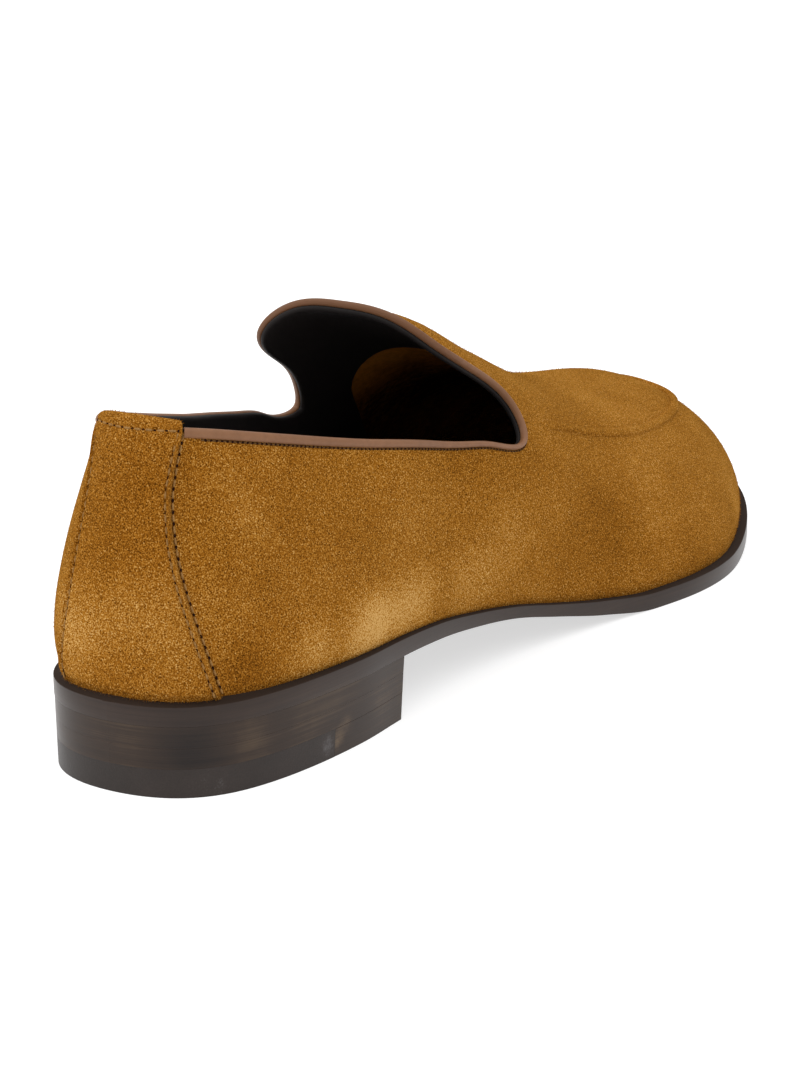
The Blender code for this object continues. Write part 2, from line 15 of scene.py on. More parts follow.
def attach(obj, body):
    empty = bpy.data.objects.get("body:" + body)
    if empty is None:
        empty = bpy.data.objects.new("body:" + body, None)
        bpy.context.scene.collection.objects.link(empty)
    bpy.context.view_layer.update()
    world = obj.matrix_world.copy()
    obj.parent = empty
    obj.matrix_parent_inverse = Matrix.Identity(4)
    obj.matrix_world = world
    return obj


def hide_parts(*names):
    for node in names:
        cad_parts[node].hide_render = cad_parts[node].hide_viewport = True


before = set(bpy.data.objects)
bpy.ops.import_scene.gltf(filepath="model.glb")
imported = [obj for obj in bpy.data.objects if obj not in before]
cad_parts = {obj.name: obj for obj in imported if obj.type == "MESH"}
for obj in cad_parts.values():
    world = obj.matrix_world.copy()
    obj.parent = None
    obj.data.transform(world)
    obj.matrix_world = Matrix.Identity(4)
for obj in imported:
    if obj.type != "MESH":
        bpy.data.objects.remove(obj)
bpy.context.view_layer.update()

MM = 0.001

# Sizes of the sole, the upper and the insole
WALL = 1.8
LASTING_MARGIN = 9.0
SEAT_GAP = 0.05
SOLE_RIM_ROUND = 0.25
SOLE_FOOT_ROUND = 0.12
INSOLE_THICKNESS = 2.4
INSOLE_RISE = 2.4
INSOLE_INSET = 2.9
INSOLE_ROUND = 1.2

# Rough lip of the sole's ledge: its rise along the shoe, and its profile as shifts in and shares of it
LIP_RISE = ((0, 1.2), (12, 1.1), (26, 0.35), (44, 0.1), (298, 0.1))
LIP_PROFILE = ((-1.1, 0.2), (-0.6, 0.75), (0.0, 1.0), (0.4, 1.0), (0.7, 0.0))

# Sizes of the heel
TOP_PIECE_HEIGHT = 6.6
LOWER_LIFT_TOP = 11.4
LAYER_GAP = 0.01
BREAST_AT_SOLE = 72.4
BREAST_AT_FLOOR = 70.8
JOINT_AT_LIFT = 43.0
JOINT_AT_FLOOR = 42.4
HEEL_INSET_AT_SOLE = 0.1
HEEL_INSET_AT_FLOOR = 0.2
HEEL_EDGE_ROUND = 0.07

# Sections of the last, from the back of the heel to the tip of the toe
Section = namedtuple(
    "Section", "turn along shift outer inner ledge plan_power side_power swell swell_share"
)
SECTIONS = (
    Section(0, 30, 0.0, 29.2, 29.2, 2.6, 2.0, 1.00, 1.6, 0.16),
    Section(45, 36, 0.0, 33.4, 33.4, 2.6, 2.0, 0.95, 3.8, 0.17),
    Section(90, 46, 0.0, 32.2, 32.0, 2.2, 2.0, 1.06, 3.8, 0.18),
    Section(90, 66, 0.0, 32.6, 31.6, 1.8, 2.2, 1.46, 3.0, 0.20),
    Section(90, 90, -0.5, 33.0, 29.8, 1.6, 2.7, 2.60, 2.6, 0.25),
    Section(90, 114, -1.5, 35.4, 28.4, 1.6, 2.8, 3.00, 4.0, 0.32),
    Section(90, 140, -3.0, 41.2, 30.8, 1.8, 2.5, 2.60, 3.6, 0.32),
    Section(90, 166, -5.0, 49.5, 37.5, 2.2, 2.3, 2.20, 2.2, 0.28),
    Section(90, 192, -7.0, 58.3, 43.2, 2.5, 2.2, 1.95, 1.4, 0.22),
    Section(90, 218, -8.0, 60.0, 43.4, 2.6, 2.25, 1.85, 1.0, 0.20),
    Section(90, 244, -8.5, 53.8, 38.6, 2.6, 2.3, 1.85, 0.8, 0.20),
    Section(120, 244, -8.5, 48.6, 38.4, 2.6, 2.3, 1.90, 0.6, 0.20),
    Section(150, 244, -8.5, 49.2, 45.6, 2.6, 2.3, 1.90, 0.5, 0.20),
    Section(180, 244, -8.5, 52.5, 52.5, 2.6, 2.3, 1.90, 0.5, 0.20),
)
HEEL_FAN = 2
MIDDLE = 8
TOE_FAN = 3
LAST_SECTION = HEEL_FAN + MIDDLE + TOE_FAN

# Side view of the sole
SoleRow = namedtuple("SoleRow", "along underside thickness")
SOLE = (
    SoleRow(0, 16.4, 4.6),
    SoleRow(36, 16.0, 4.6),
    SoleRow(72, 15.3, 4.3),
    SoleRow(90, 14.5, 4.0),
    SoleRow(107, 12.8, 3.5),
    SoleRow(122, 10.8, 3.2),
    SoleRow(140, 6.8, 3.4),
    SoleRow(158, 2.8, 4.0),
    SoleRow(178, 0.0, 4.6),
    SoleRow(216, 0.0, 4.6),
    SoleRow(244, 1.6, 4.6),
    SoleRow(270, 4.6, 4.6),
    SoleRow(298, 9.4, 4.6),
)

# Side view of the last's crest: distance from the heel's back, and height
CREST = (
    (0, 122), (40, 118), (80, 103), (95, 92.9), (108, 88.8), (124, 82),
    (140, 75.5), (176, 61), (212, 52), (244, 47), (270, 43), (298, 38),
)

# Edge of the collar and tongue
Topline = namedtuple("Topline", "outer_section outer inner_section inner")
TOPLINE = (
    Topline(0.0, 79.2, 0.0, 79.2),
    Topline(1.0, 77.9, 1.0, 78.1),
    Topline(2.0, 72.0, 2.0, 72.2),
    Topline(3.0, 67.3, 3.0, 67.55),
    Topline(4.0, 62.2, 4.0, 62.9),
    Topline(4.5, 59.5, 4.5, 60.5),
    Topline(5.0, 57.0, 4.95, 57.2),
    Topline(5.68, 55.4, 5.29, 58.6),
    Topline(5.72, 63.0, 5.19, 64.5),
    Topline(5.28, 73.7, 4.61, 75.2),
    Topline(4.73, 83.0, 4.12, 83.2),
    Topline(4.38, 99.0, 4.38, 99.0),
)
TONGUE_TIP = len(TOPLINE) - 1

# Section that a line of the wall starts from, and the row of the topline that it runs to
WALL_LINES = ((0, 0), (4, 4), (5, 6), (7, 7.6), (10, 9.4), (13, 11))

# Half-widths of the heel counter in sections, by share of the wall's height
CounterEdge = namedtuple("CounterEdge", "share outer inner")
COUNTER_EDGES = (
    CounterEdge(0.0, 1.00, 0.66),
    CounterEdge(0.2, 0.87, 0.60),
    CounterEdge(0.37, 0.75, 0.58),
    CounterEdge(0.5, 0.665, 0.58),
    CounterEdge(0.62, 0.61, 0.58),
    CounterEdge(0.75, 0.59, 0.58),
    CounterEdge(0.86, 0.635, 0.60),
    CounterEdge(1.0, 0.74, 0.70),
)

# Seam round the apron
SeamRow = namedtuple("SeamRow", "section outer inner")
SEAM = (
    SeamRow(6.15, 0.80, 0.83),
    SeamRow(6.5, 0.76, 0.79),
    SeamRow(7.5, 0.70, 0.74),
    SeamRow(8.5, 0.66, 0.70),
    SeamRow(9.5, 0.62, 0.66),
    SeamRow(10.5, 0.58, 0.62),
    SeamRow(12.0, 0.50, 0.52),
    SeamRow(13.0, 0.46, 0.46),
)

# Where the lining ends, by section: a share of the wall's height, 0 at the insole and 1 at the collar
LINING_ENDS = ((0, 0.05), (8, 0.05), (9.5, 0.35), (10.4, 0.62), (11, 0.73), (12, 0.77), (13, 0.79))

# The flat pattern on which the last is laid out
FLAT_RADIUS = 1.6
SECTION_ARC = 22.0
SIDES = {"outer": 1, "inner": -1}

# Binding, with its outside leg by row of the topline and its inner roll as distances out and shares
BINDING_THICKNESS = 0.8
BINDING_GAP = 0.1
BINDING_START_ROW = -0.02
BINDING_PUCKER = 0.05
BINDING_LEGS = ((0, 1.4), (2, 1.3), (4, 0.9), (6, 0.5), (9, 0.4), (11, 0.8))
BINDING_TURN = (-70, 90)
BINDING_TURN_STEPS = 14
BINDING_INNER_ROLL = ((-0.4, 0.97), (-0.75, 0.86), (-0.95, 0.6))
BINDING_INNER_EDGE = -0.97

# Heel counter
COUNTER_GAP = 0.05
COUNTER_THICKNESS = 1.35
COUNTER_START_SHARE = 0.002
COUNTER_FOLD_SHARE = 0.14
COUNTER_EDGE_ROUND = 0.6
COUNTER_FOOT_SHARE = 0.35
COUNTER_FOOT_FADE = 3.0
COUNTER_RIDGE = 0.45
COUNTER_GROOVE = 0.35
COUNTER_SEAM_FADE = 3.0
COUNTER_FOLD_RISE = 0.85
FOLD_GROOVE = 0.40
FOLD_GROOVE_WIDTH = 0.8
BACK_HEIGHT = 58.0

# Apron seam
SEAM_HALF_WIDTH = 1.5
SEAM_HEIGHT = 1.3
SEAM_SINK = 0.3
SEAM_TAPER = 9.0
SEAM_END_SHARE = 0.02

# Lining, its roll as distances in from the wall and past its edge, and the flesh side behind its end
LINING_GAP = 0.12
LINING_THICKNESS = 0.5
LINING_TOP_SHARE = 0.995
LINING_ROLL = (
    (0.00, 0.12), (-0.78, 0.12), (-0.80, 0.58), (-0.62, 0.76), (-0.20, 0.82), (0.28, 0.62), (0.60, 0.22),
)
RAW_GAP = 0.03
RAW_THICKNESS = 0.06
RAW_START_SHARE = 0.04
RAW_LAP_SHARE = 0.02

# Stitch rows; those of the counter are distances in from its edge with the size of their holes
StitchRow = namedtuple("StitchRow", "points normals pitch width hole")
COUNTER_STITCH_PITCH = 2.45
COUNTER_STITCH_WIDTH = 0.50
COUNTER_STITCH_ROWS = ((-0.45, 0.27), (1.2, 0.23))
COUNTER_STITCH_START = 0.02
FOLD_STITCH_PITCH = 2.4
FOLD_STITCH_REACH = 0.93
BINDING_STITCH_PITCH = 1.35
BINDING_STITCH_WIDTH = 0.42
BINDING_STITCH_DROP = 0.32
BINDING_STITCH_HOLE = 0.26
BINDING_STITCH_TRIM = 4
STITCH_SHARE = 0.70
STITCH_ARCH = 0.20
STITCH_ARCH_POWER = 4
STITCH_SINK = 0.14
STITCH_END_SHARE = 0.35
STITCH_FLATNESS = 0.8
HOLE_DEPTH = 0.2
HOLE_LIFT = 0.05
HOLE_STRETCH = 1.5

# Loose fibres of the nap
NAP_SEED = 7
NAP_ON_UPPER = 14000
NAP_ON_COUNTER = 5000
NAP_AT_FEATHER = 5000
NAP_AT_COUNTER_FOOT = 1500
NAP_LENGTH = (0.3, 0.8)
NAP_WIDTH = 0.045
NAP_LEAN = 0.7
NAP_SINK = 0.04
FEATHER_ROWS = 4

# How finely the pieces are divided, and the angles in degrees that stay sharp or are softened
SKIN_LINES = 150
SKIN_ROWS = 56
WALL_ROW_POWER = 1.15
PATH_SAMPLES = 160
HALVINGS = 34
NEARING_STEPS = 8
EDGE_STEPS = 180
FOOT_STEPS = 3
RIM_STEPS = 4
HEEL_STEPS = 70
COUNTER_COLUMNS = 36
COUNTER_MIDDLE = 0.84
COUNTER_EDGES_FROM = 0.85
COUNTER_ROWS = 66
COUNTER_TOP_ROWS = 24
COUNTER_TOP_SHARE = 0.93
COUNTER_CAP_ROWS = 16
COUNTER_FOLD_ROWS = 14
BINDING_STEPS = 420
BINDING_SAMPLES = 4 * BINDING_STEPS
SEAM_STEPS = 320
SEAM_PROFILE_STEPS = 11
STITCH_LINE_STEPS = 60
STITCH_RINGS = 7
STITCH_SIDES = 8
SHARP_ANGLE = 50
SOFTENED_ANGLE = 40
SOFTENED_STEPS = 2

# The camera stands where the photo's camera stood and turns to hold the whole shoe
CAMERA_PLACE = (317.2, -402.8, 203.5)
CAMERA_AIM = (16.0, 98.2, 36.4)
CAMERA_ROLL = -0.6
CAMERA_LENS = 84.2
SENSOR = 36.0
CAMERA_NEAR = 0.01

# Stage: a glowing white floor, in metres, and sun lamps with their spread in degrees
Sun = namedtuple("Sun", "name spot strength spread")
SUNS = (
    Sun("top_light", (60.0, -60.0, 400.0), 1.7, 90.0),
    Sun("left_light", (-380.0, -260.0, 260.0), 0.9, 60.0),
)
FLOOR_SIZE = 30.0
BACKDROP_STRENGTH = 0.80
WHITE = (1.0, 1.0, 1.0, 1.0)
FLOOR_SURFACE = {
    "Base Color": (0.5, 0.5, 0.5, 1.0),
    "Roughness": 0.8,
    "Specular IOR Level": 0.1,
    "Emission Color": WHITE,
    "Emission Strength": 0.62,
}


def hermite(start, start_slope, end, end_slope, part):
    """Cubic between two values with given slopes, for part running from 0 to 1."""
    change = end - start
    bend_start = start_slope - change
    bend_end = end_slope - change
    return start + part * (change + (1 - part) * (bend_start * (1 - part) - bend_end * part))


def steady_curve(stations, values):
    """A smooth curve through the values that never overshoots, so flat stretches stay flat."""
    x = np.asarray(stations, float)
    y = np.asarray(values, float)
    steps = np.diff(x)
    rises = np.diff(y) / steps
    before = rises[:-1]
    after = rises[1:]
    same_way = before * after > 0
    slopes = np.concatenate([rises[:1], np.zeros(len(y) - 2), rises[-1:]])
    slopes[1:-1][same_way] = 2 / (1 / before[same_way] + 1 / after[same_way])

    def at(where):
        where = np.clip(where, x[0], x[-1])
        low = np.clip(np.searchsorted(x, where, side="right") - 1, 0, len(x) - 2)
        step = steps[low]
        part = (where - x[low]) / step
        return hermite(y[low], slopes[low] * step, y[low + 1], slopes[low + 1] * step, part)

    return at


def closed_curve(points, spans):
    """A smooth closed curve through the points, one unit of its position for each point.

    Spans are the lengths of curve to allow from each point to the next.
    """
    count = len(points)
    before = np.roll(spans, 1)
    system = np.diag(2 * (before + spans))
    system += np.roll(np.diag(spans), -1, axis=1) + np.roll(np.diag(before), 1, axis=1)
    rises = (np.roll(points, -1, axis=0) - points) / spans[:, None]
    pulls = spans[:, None] * np.roll(rises, 1, axis=0) + before[:, None] * rises
    slopes = np.linalg.solve(system, 3 * pulls)

    def at(position):
        whole = np.floor(position)
        low = whole.astype(int) % count
        high = (low + 1) % count
        span = spans[low][..., None]
        part = (position - whole)[..., None]
        return hermite(points[low], slopes[low] * span, points[high], slopes[high] * span, part)

    return at


def soft_bump(distance, centre, spread):
    """1 at a centre, fading smoothly to 0 on both sides of it."""
    return np.exp(-(((distance - centre) / spread) ** 2))


def unit(vectors):
    """Vectors scaled to length one."""
    return vectors / np.linalg.norm(vectors, axis=-1, keepdims=True)


def run_lengths(points):
    """Distance travelled along a line of points."""
    steps = np.linalg.norm(np.diff(points, axis=0), axis=1)
    return np.concatenate([[0], np.cumsum(steps)])


def section_column(name):
    """A smooth curve through one column of the section table."""
    return steady_curve(range(len(SECTIONS)), [getattr(row, name) for row in SECTIONS])


def table_column(table, name):
    """A smooth curve through one column of a table, by the table's first column."""
    return steady_curve([row[0] for row in table], [getattr(row, name) for row in table])


spine_along = section_column("along")
spine_shift = section_column("shift")
ledge = section_column("ledge")
plan_power = section_column("plan_power")
side_power = section_column("side_power")
swell = section_column("swell")
swell_share = section_column("swell_share")
underside = table_column(SOLE, "underside")
sole_thickness = table_column(SOLE, "thickness")
outer_counter_edge = table_column(COUNTER_EDGES, "outer")
inner_counter_edge = table_column(COUNTER_EDGES, "inner")
crest = steady_curve(*zip(*CREST))
lining_end = steady_curve(*zip(*LINING_ENDS))
collar_row = steady_curve(*zip(*WALL_LINES))


def sole_corner(row, side):
    """The point of the sole's edge that a section's ray meets on one side."""
    turn = np.radians(row.turn)
    reach = getattr(row, side)
    return (row.shift + SIDES[side] * reach * np.sin(turn), row.along - reach * np.cos(turn))


SOLE_CORNERS = np.array(
    [sole_corner(row, "outer") for row in SECTIONS]
    + [sole_corner(row, "inner") for row in SECTIONS[-2:0:-1]]
)
sole_edge = closed_curve(SOLE_CORNERS, np.ones(len(SOLE_CORNERS)))


def edge_point(section, sign, inset):
    """Plan point of the sole's edge at a section, moved in by the inset."""
    inset = np.asarray(inset, float)[..., None]
    position = np.where(np.asarray(sign) > 0, section, 2 * LAST_SECTION - section)
    nudge = 0.01
    run = unit(sole_edge(position + nudge) - sole_edge(position - nudge))
    inward = np.stack([-run[..., 1], run[..., 0]], axis=-1)
    return sole_edge(position) + inward * inset


def sole_top(along):
    """Height of the sole's upper face."""
    return underside(along) + sole_thickness(along)


def upper_base(along):
    """Height of the upper's lower edge."""
    return sole_top(along) + SEAT_GAP


def flat_point(section, sign, share):
    """Place on the flat pattern for a section and a share of the way out from the spine."""
    reach = FLAT_RADIUS * share
    heel_turn = np.radians(90) * np.clip(section / HEEL_FAN, 0, 1)
    toe_turn = np.radians(90) * np.clip((section - HEEL_FAN - MIDDLE) / TOE_FAN, 0, 1)
    across = reach * np.sin(heel_turn) * np.cos(toe_turn)
    along = np.clip(section - HEEL_FAN, 0, MIDDLE) + reach * (np.sin(toe_turn) - np.cos(heel_turn))
    return np.stack([sign * across, along], axis=-1)


def unflatten(flat):
    """Section, side and share for places on the flat pattern."""
    across = np.abs(flat[..., 0])
    past_toe = np.maximum(flat[..., 1] - MIDDLE, 0)
    past_heel = np.maximum(-flat[..., 1], 0)
    sign = np.where(flat[..., 0] >= 0, 1, -1)
    heel_part = HEEL_FAN * np.arctan2(across, past_heel) / np.radians(90)
    middle_part = HEEL_FAN + np.clip(flat[..., 1], 0, MIDDLE)
    toe_part = LAST_SECTION - TOE_FAN * np.arctan2(across, past_toe) / np.radians(90)
    section = np.where(past_heel > 0, heel_part, np.where(past_toe > 0, toe_part, middle_part))
    share = np.sqrt(across**2 + past_toe**2 + past_heel**2) / FLAT_RADIUS
    return section, sign, np.clip(share, 0, 1)


def last_point(flat):
    """Point of the last's surface for places on the flat pattern."""
    section, sign, share = unflatten(flat)
    origin = np.stack([spine_shift(section), spine_along(section)], axis=-1)
    ray = edge_point(section, sign, ledge(section)) - origin
    rise = (1 - share ** plan_power(section)) ** (1 / side_power(section))
    climb = rise / swell_share(section)
    belly = swell(section) * share * climb * np.exp(1 - climb)
    plan = origin + ray * share[..., None] + unit(ray) * belly[..., None]
    base = upper_base(plan[..., 1])
    height = base + (crest(plan[..., 1]) - base) * rise
    return np.concatenate([plan, height[..., None]], axis=-1)


def last_slopes(flat):
    """Slopes of the last's surface across and along the flat pattern."""
    nudge = 0.004
    across = np.array([nudge, 0.0])
    along = np.array([0.0, nudge])
    return (
        (last_point(flat + across) - last_point(flat - across)) / (2 * nudge),
        (last_point(flat + along) - last_point(flat - along)) / (2 * nudge),
    )


def last_normal(flat):
    """Outward normal of the last's surface for places on the flat pattern."""
    return unit(np.cross(*last_slopes(flat)))


def share_at_height(section, sign, height):
    """Share of the way out from the spine where a section reaches a height, found by halving."""
    low = np.zeros(np.shape(section))
    high = np.ones(np.shape(section))
    for _ in range(HALVINGS):
        middle = (low + high) / 2
        too_high = last_point(flat_point(section, sign, middle))[..., 2] > height
        low = np.where(too_high, middle, low)
        high = np.where(too_high, high, middle)
    return (low + high) / 2


def topline_places(side):
    """Flat places of the topline's rows on one side."""
    sections = np.array([getattr(row, side + "_section") for row in TOPLINE])
    heights = np.array([getattr(row, side) for row in TOPLINE])
    sign = SIDES[side]
    return flat_point(sections, sign, share_at_height(sections, sign, heights))


TOPLINE_PLACES = np.concatenate([topline_places("outer"), topline_places("inner")[-2:0:-1]])
TOPLINE_POINTS = last_point(TOPLINE_PLACES)
TOPLINE_SPANS = np.linalg.norm(np.roll(TOPLINE_POINTS, -1, axis=0) - TOPLINE_POINTS, axis=1)
topline_curve = closed_curve(TOPLINE_POINTS, TOPLINE_SPANS)


def nearest_flat(points, flat):
    """Flat places whose points on the last lie nearest to the given points, from a first guess."""
    for _ in range(NEARING_STEPS):
        slopes = np.stack(last_slopes(flat), axis=-2)
        miss = (points - last_point(flat))[..., None]
        flat = flat + np.linalg.solve(slopes @ np.swapaxes(slopes, -1, -2), slopes @ miss)[..., 0]
    return flat


def collar_edge(position):
    """Flat place on the collar's edge: out along the outer side to the tongue, back along the inner."""
    whole = np.floor(position)
    low = whole.astype(int) % len(TOPLINE_PLACES)
    high = (low + 1) % len(TOPLINE_PLACES)
    part = (position - whole)[..., None]
    guess = (1 - part) * TOPLINE_PLACES[low] + part * TOPLINE_PLACES[high]
    return nearest_flat(topline_curve(position), guess)


def collar_position(section, sign):
    """Position on the collar's edge where the wall line from a section ends."""
    row = collar_row(section)
    return np.where(np.asarray(sign) > 0, row, 2 * TONGUE_TIP - row)


def wall_flat(section, sign, shares):
    """Flat places along wall lines: one row for each line, at that row's shares of the wall's height."""
    start = flat_point(section, sign, 1.0)
    run = collar_edge(collar_position(section, sign)) - start
    steps = np.linspace(0, 1, PATH_SAMPLES) ** 2
    path = last_point(start[:, None] + run[:, None] * steps[:, None])
    lengths = np.linalg.norm(np.diff(path, axis=1), axis=2)
    travelled = np.concatenate([np.zeros((len(path), 1)), np.cumsum(lengths, axis=1)], axis=1)
    travelled = travelled / travelled[:, -1:]
    reached = np.array([np.interp(wanted, gone, steps) for wanted, gone in zip(shares, travelled)])
    return start[:, None] + run[:, None] * reached[..., None]


def wall_spot(spot):
    """Point of the wall at a side, section and share."""
    section = np.array([float(spot.section)])
    flat = wall_flat(section, np.array([SIDES[spot.side]]), np.array([[spot.share]]))
    return last_point(flat)[0, 0]


def even_sections(count):
    """Section numbers at even steps along the upper's lower edge, from heel to toe."""
    fine = np.linspace(0, LAST_SECTION, PATH_SAMPLES)
    travelled = run_lengths(edge_point(fine, np.ones(PATH_SAMPLES), ledge(fine)))
    return np.interp(np.linspace(0, travelled[-1], count + 1), travelled, fine)


def collar_frame(positions):
    """Points, outward normals and edgeward directions along the collar's edge."""
    nudge = 0.01
    flat = collar_edge(positions)
    along = last_point(collar_edge(positions + nudge)) - last_point(collar_edge(positions - nudge))
    normals = last_normal(flat)
    return last_point(flat), normals, unit(np.cross(normals, along))


def plan_middle():
    """Middle of the sole's plan, the origin of the solids."""
    points = sole_edge(np.linspace(0, 2 * LAST_SECTION, PATH_SAMPLES * LAST_SECTION))
    return np.append((points.min(axis=0) + points.max(axis=0)) / 2, 0.0)


PLAN_MIDDLE = plan_middle()


def place(points):
    """Millimetres of the shoemaker's frame to metres of the solids' frame."""
    return (np.asarray(points, float) - PLAN_MIDDLE) * MM


def grid_faces(rows, columns, closed, ring=False):
    """Quads of a grid of points stored row by row.

    Closed joins the last column to the first, and ring joins the last row to the first.
    """
    numbers = np.arange(rows * columns).reshape(rows, columns)
    numbers = np.pad(numbers, ((0, int(ring)), (0, int(closed))), mode="wrap")
    corners = (numbers[:-1, :-1], numbers[:-1, 1:], numbers[1:, 1:], numbers[1:, :-1])
    return np.stack(corners, axis=-1).reshape(-1, len(corners)).tolist()


def tyre(lines):
    """Closed mesh through lines of points, joined into a ring and each closed on itself."""
    rows = np.swapaxes(lines, 0, 1)
    return rows.reshape(-1, 3), grid_faces(*rows.shape[:2], closed=True, ring=True)


def loft(rings):
    """Closed mesh through rings of points, with the first and last ring capped."""
    count, size = rings.shape[:2]
    faces = grid_faces(count, size, True)
    faces.append(tuple(range(size - 1, -1, -1)))
    faces.append(tuple(range((count - 1) * size, count * size)))
    return rings.reshape(-1, 3), faces


def sheet(inside, outside):
    """Closed mesh between two grids of points, the inside and outside face of a thin piece."""
    rows, columns = inside.shape[:2]
    faces = grid_faces(rows, columns, False)
    outer_start = rows * columns
    outer = [tuple(outer_start + corner for corner in face) for face in faces]
    rim = [row * columns for row in range(rows)]
    rim += [(rows - 1) * columns + column for column in range(1, columns)]
    rim += [row * columns + columns - 1 for row in range(rows - 2, -1, -1)]
    rim += list(range(columns - 2, 0, -1))
    edges = []
    for here, there in zip(rim, rim[1:] + rim[:1]):
        edges.append((outer_start + here, outer_start + there, there, here))
    points = np.concatenate([inside.reshape(-1, 3), outside.reshape(-1, 3)])
    return points, [face[::-1] for face in faces] + outer + edges


def slab(rings):
    """Closed mesh through plan rings, capped by strips from the outer to the inner side."""
    loops = [np.concatenate([outer, inner[::-1]]) for outer, inner in rings]
    size = len(loops[0])
    faces = grid_faces(len(loops), size, True)
    top = (len(loops) - 1) * size
    for step in range(size // 2 - 1):
        strip = (step, step + 1, size - 2 - step, size - 1 - step)
        faces.append(tuple(top + corner for corner in strip))
        faces.append(strip[::-1])
    return np.concatenate(loops), faces


def raised(plan, height):
    """Plan points lifted to a height worked out from their distance from the heel."""
    return np.concatenate([plan, height(plan[..., 1])[..., None]], axis=-1)


def level(size):
    """A size that stays the same along the shoe."""
    return lambda along: 0 * along + size


def above(sizes, extra):
    """A size that keeps a fixed amount above one that changes along the shoe."""
    return lambda along: sizes(along) + extra


def add_piece(name, mesh, material, replaced=()):
    """Make a piece from points in millimetres and faces, smooth, riding on the shoe's one body."""
    points, faces = mesh
    data = bpy.data.meshes.new(name)
    data.from_pydata(place(points).tolist(), [], faces)
    data.validate()
    data.shade_smooth()
    data.set_sharp_from_angle(angle=np.radians(SHARP_ANGLE))
    data.materials.append(material)
    piece = bpy.data.objects.new(name, data)
    bpy.context.scene.collection.objects.link(piece)
    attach(piece, "root")
    if replaced:
        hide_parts(*replaced)
    return piece


# A noise of a look: scale per metre, detail, roughness, weight in a tone, stretch and turn in degrees
Layer = namedtuple(
    "Layer", "scale detail roughness weight stretch turn", defaults=(0.0, (1.0, 1.0, 1.0), (0.0, 0.0, 0.0))
)
# A spot on the shoe, for real marks and for painted light and shade: centre, radius and how much lighter it
# is
Spot = namedtuple("Spot", "centre radius light")
# A bump: depth in millimetres and strength
Bump = namedtuple("Bump", "depth strength")
# Middle of a tone or a noise, which run from 0 to 1
MIDDLE_TONE = 0.5


class Shading:
    """A material's node tree, with short calls for the nodes used here."""

    def __init__(self, name, surface):
        self.material = bpy.data.materials.new(name)
        self.material.use_nodes = True
        self.tree = self.material.node_tree
        self.shader = self.tree.nodes["Principled BSDF"]
        self.place = self.tree.nodes.new("ShaderNodeTexCoord").outputs["Object"]
        for socket, value in surface.items():
            self.drive(socket, value)

    def node(self, kind, **settings):
        made = self.tree.nodes.new(kind)
        for key, value in settings.items():
            setattr(made, key, value)
        return made

    def feed(self, socket, value):
        if isinstance(value, bpy.types.NodeSocket):
            self.tree.links.new(value, socket)
        else:
            socket.default_value = value

    def drive(self, socket, value):
        """Feed one of the surface's own sockets."""
        self.feed(self.shader.inputs[socket], value)

    def noise(self, layer):
        lay = self.node("ShaderNodeMapping", vector_type="TEXTURE")
        lay.inputs["Rotation"].default_value = np.radians(layer.turn)
        lay.inputs["Scale"].default_value = layer.stretch
        self.feed(lay.inputs["Vector"], self.place)
        made = self.node("ShaderNodeTexNoise")
        self.feed(made.inputs["Vector"], lay.outputs["Vector"])
        made.inputs["Scale"].default_value = layer.scale
        made.inputs["Detail"].default_value = layer.detail
        made.inputs["Roughness"].default_value = layer.roughness
        return made.outputs["Fac"]

    def math(self, operation, first, second):
        made = self.node("ShaderNodeMath", operation=operation)
        self.feed(made.inputs[0], first)
        self.feed(made.inputs[1], second)
        return made.outputs[0]

    def push(self, tone, value, weight):
        """A tone pushed up or down by a value from 0 to 1."""
        centred = self.math("SUBTRACT", value, MIDDLE_TONE)
        return self.math("ADD", tone, self.math("MULTIPLY", centred, weight))

    def layered(self, tone, *layers):
        """A tone pushed by several noises."""
        for layer in layers:
            tone = self.push(tone, self.noise(layer), layer.weight)
        return tone

    def spotted(self, tone, spots, texture=1.0):
        """A tone made lighter or darker round spots of the shoe, where a texture lets it."""
        for spot in spots:
            spread = self.math("MULTIPLY", self.nearness(spot.centre, spot.radius), texture)
            tone = self.math("ADD", tone, self.math("MULTIPLY", spread, spot.light))
        return tone

    def ramp(self, value, stops):
        made = self.node("ShaderNodeValToRGB")
        elements = made.color_ramp.elements
        while len(elements) < len(stops):
            elements.new(MIDDLE_TONE)
        for element, (position, colour) in zip(elements, stops):
            element.position = position
            element.color = (*colour, 1.0)
        self.feed(made.inputs["Fac"], value)
        return made.outputs["Color"]

    def bump(self, height, bump, onto=None):
        made = self.node("ShaderNodeBump")
        made.inputs["Strength"].default_value = bump.strength
        made.inputs["Distance"].default_value = bump.depth * MM
        self.feed(made.inputs["Height"], height)
        if onto is not None:
            self.feed(made.inputs["Normal"], onto)
        return made.outputs["Normal"]

    def fade(self, value, start, end):
        """0 where a value is at its start, rising smoothly to 1 at its end."""
        made = self.node("ShaderNodeMapRange", interpolation_type="SMOOTHSTEP")
        self.feed(made.inputs["Value"], value)
        made.inputs["From Min"].default_value = start
        made.inputs["From Max"].default_value = end
        return made.outputs["Result"]

    def nearness(self, centre, radius):
        """1 at a point of the shoe, fading to 0 at a radius, both in millimetres."""
        distance = self.node("ShaderNodeVectorMath", operation="DISTANCE")
        self.feed(distance.inputs[0], self.place)
        distance.inputs[1].default_value = place(centre)
        return self.fade(distance.outputs["Value"], radius * MM, 0.0)
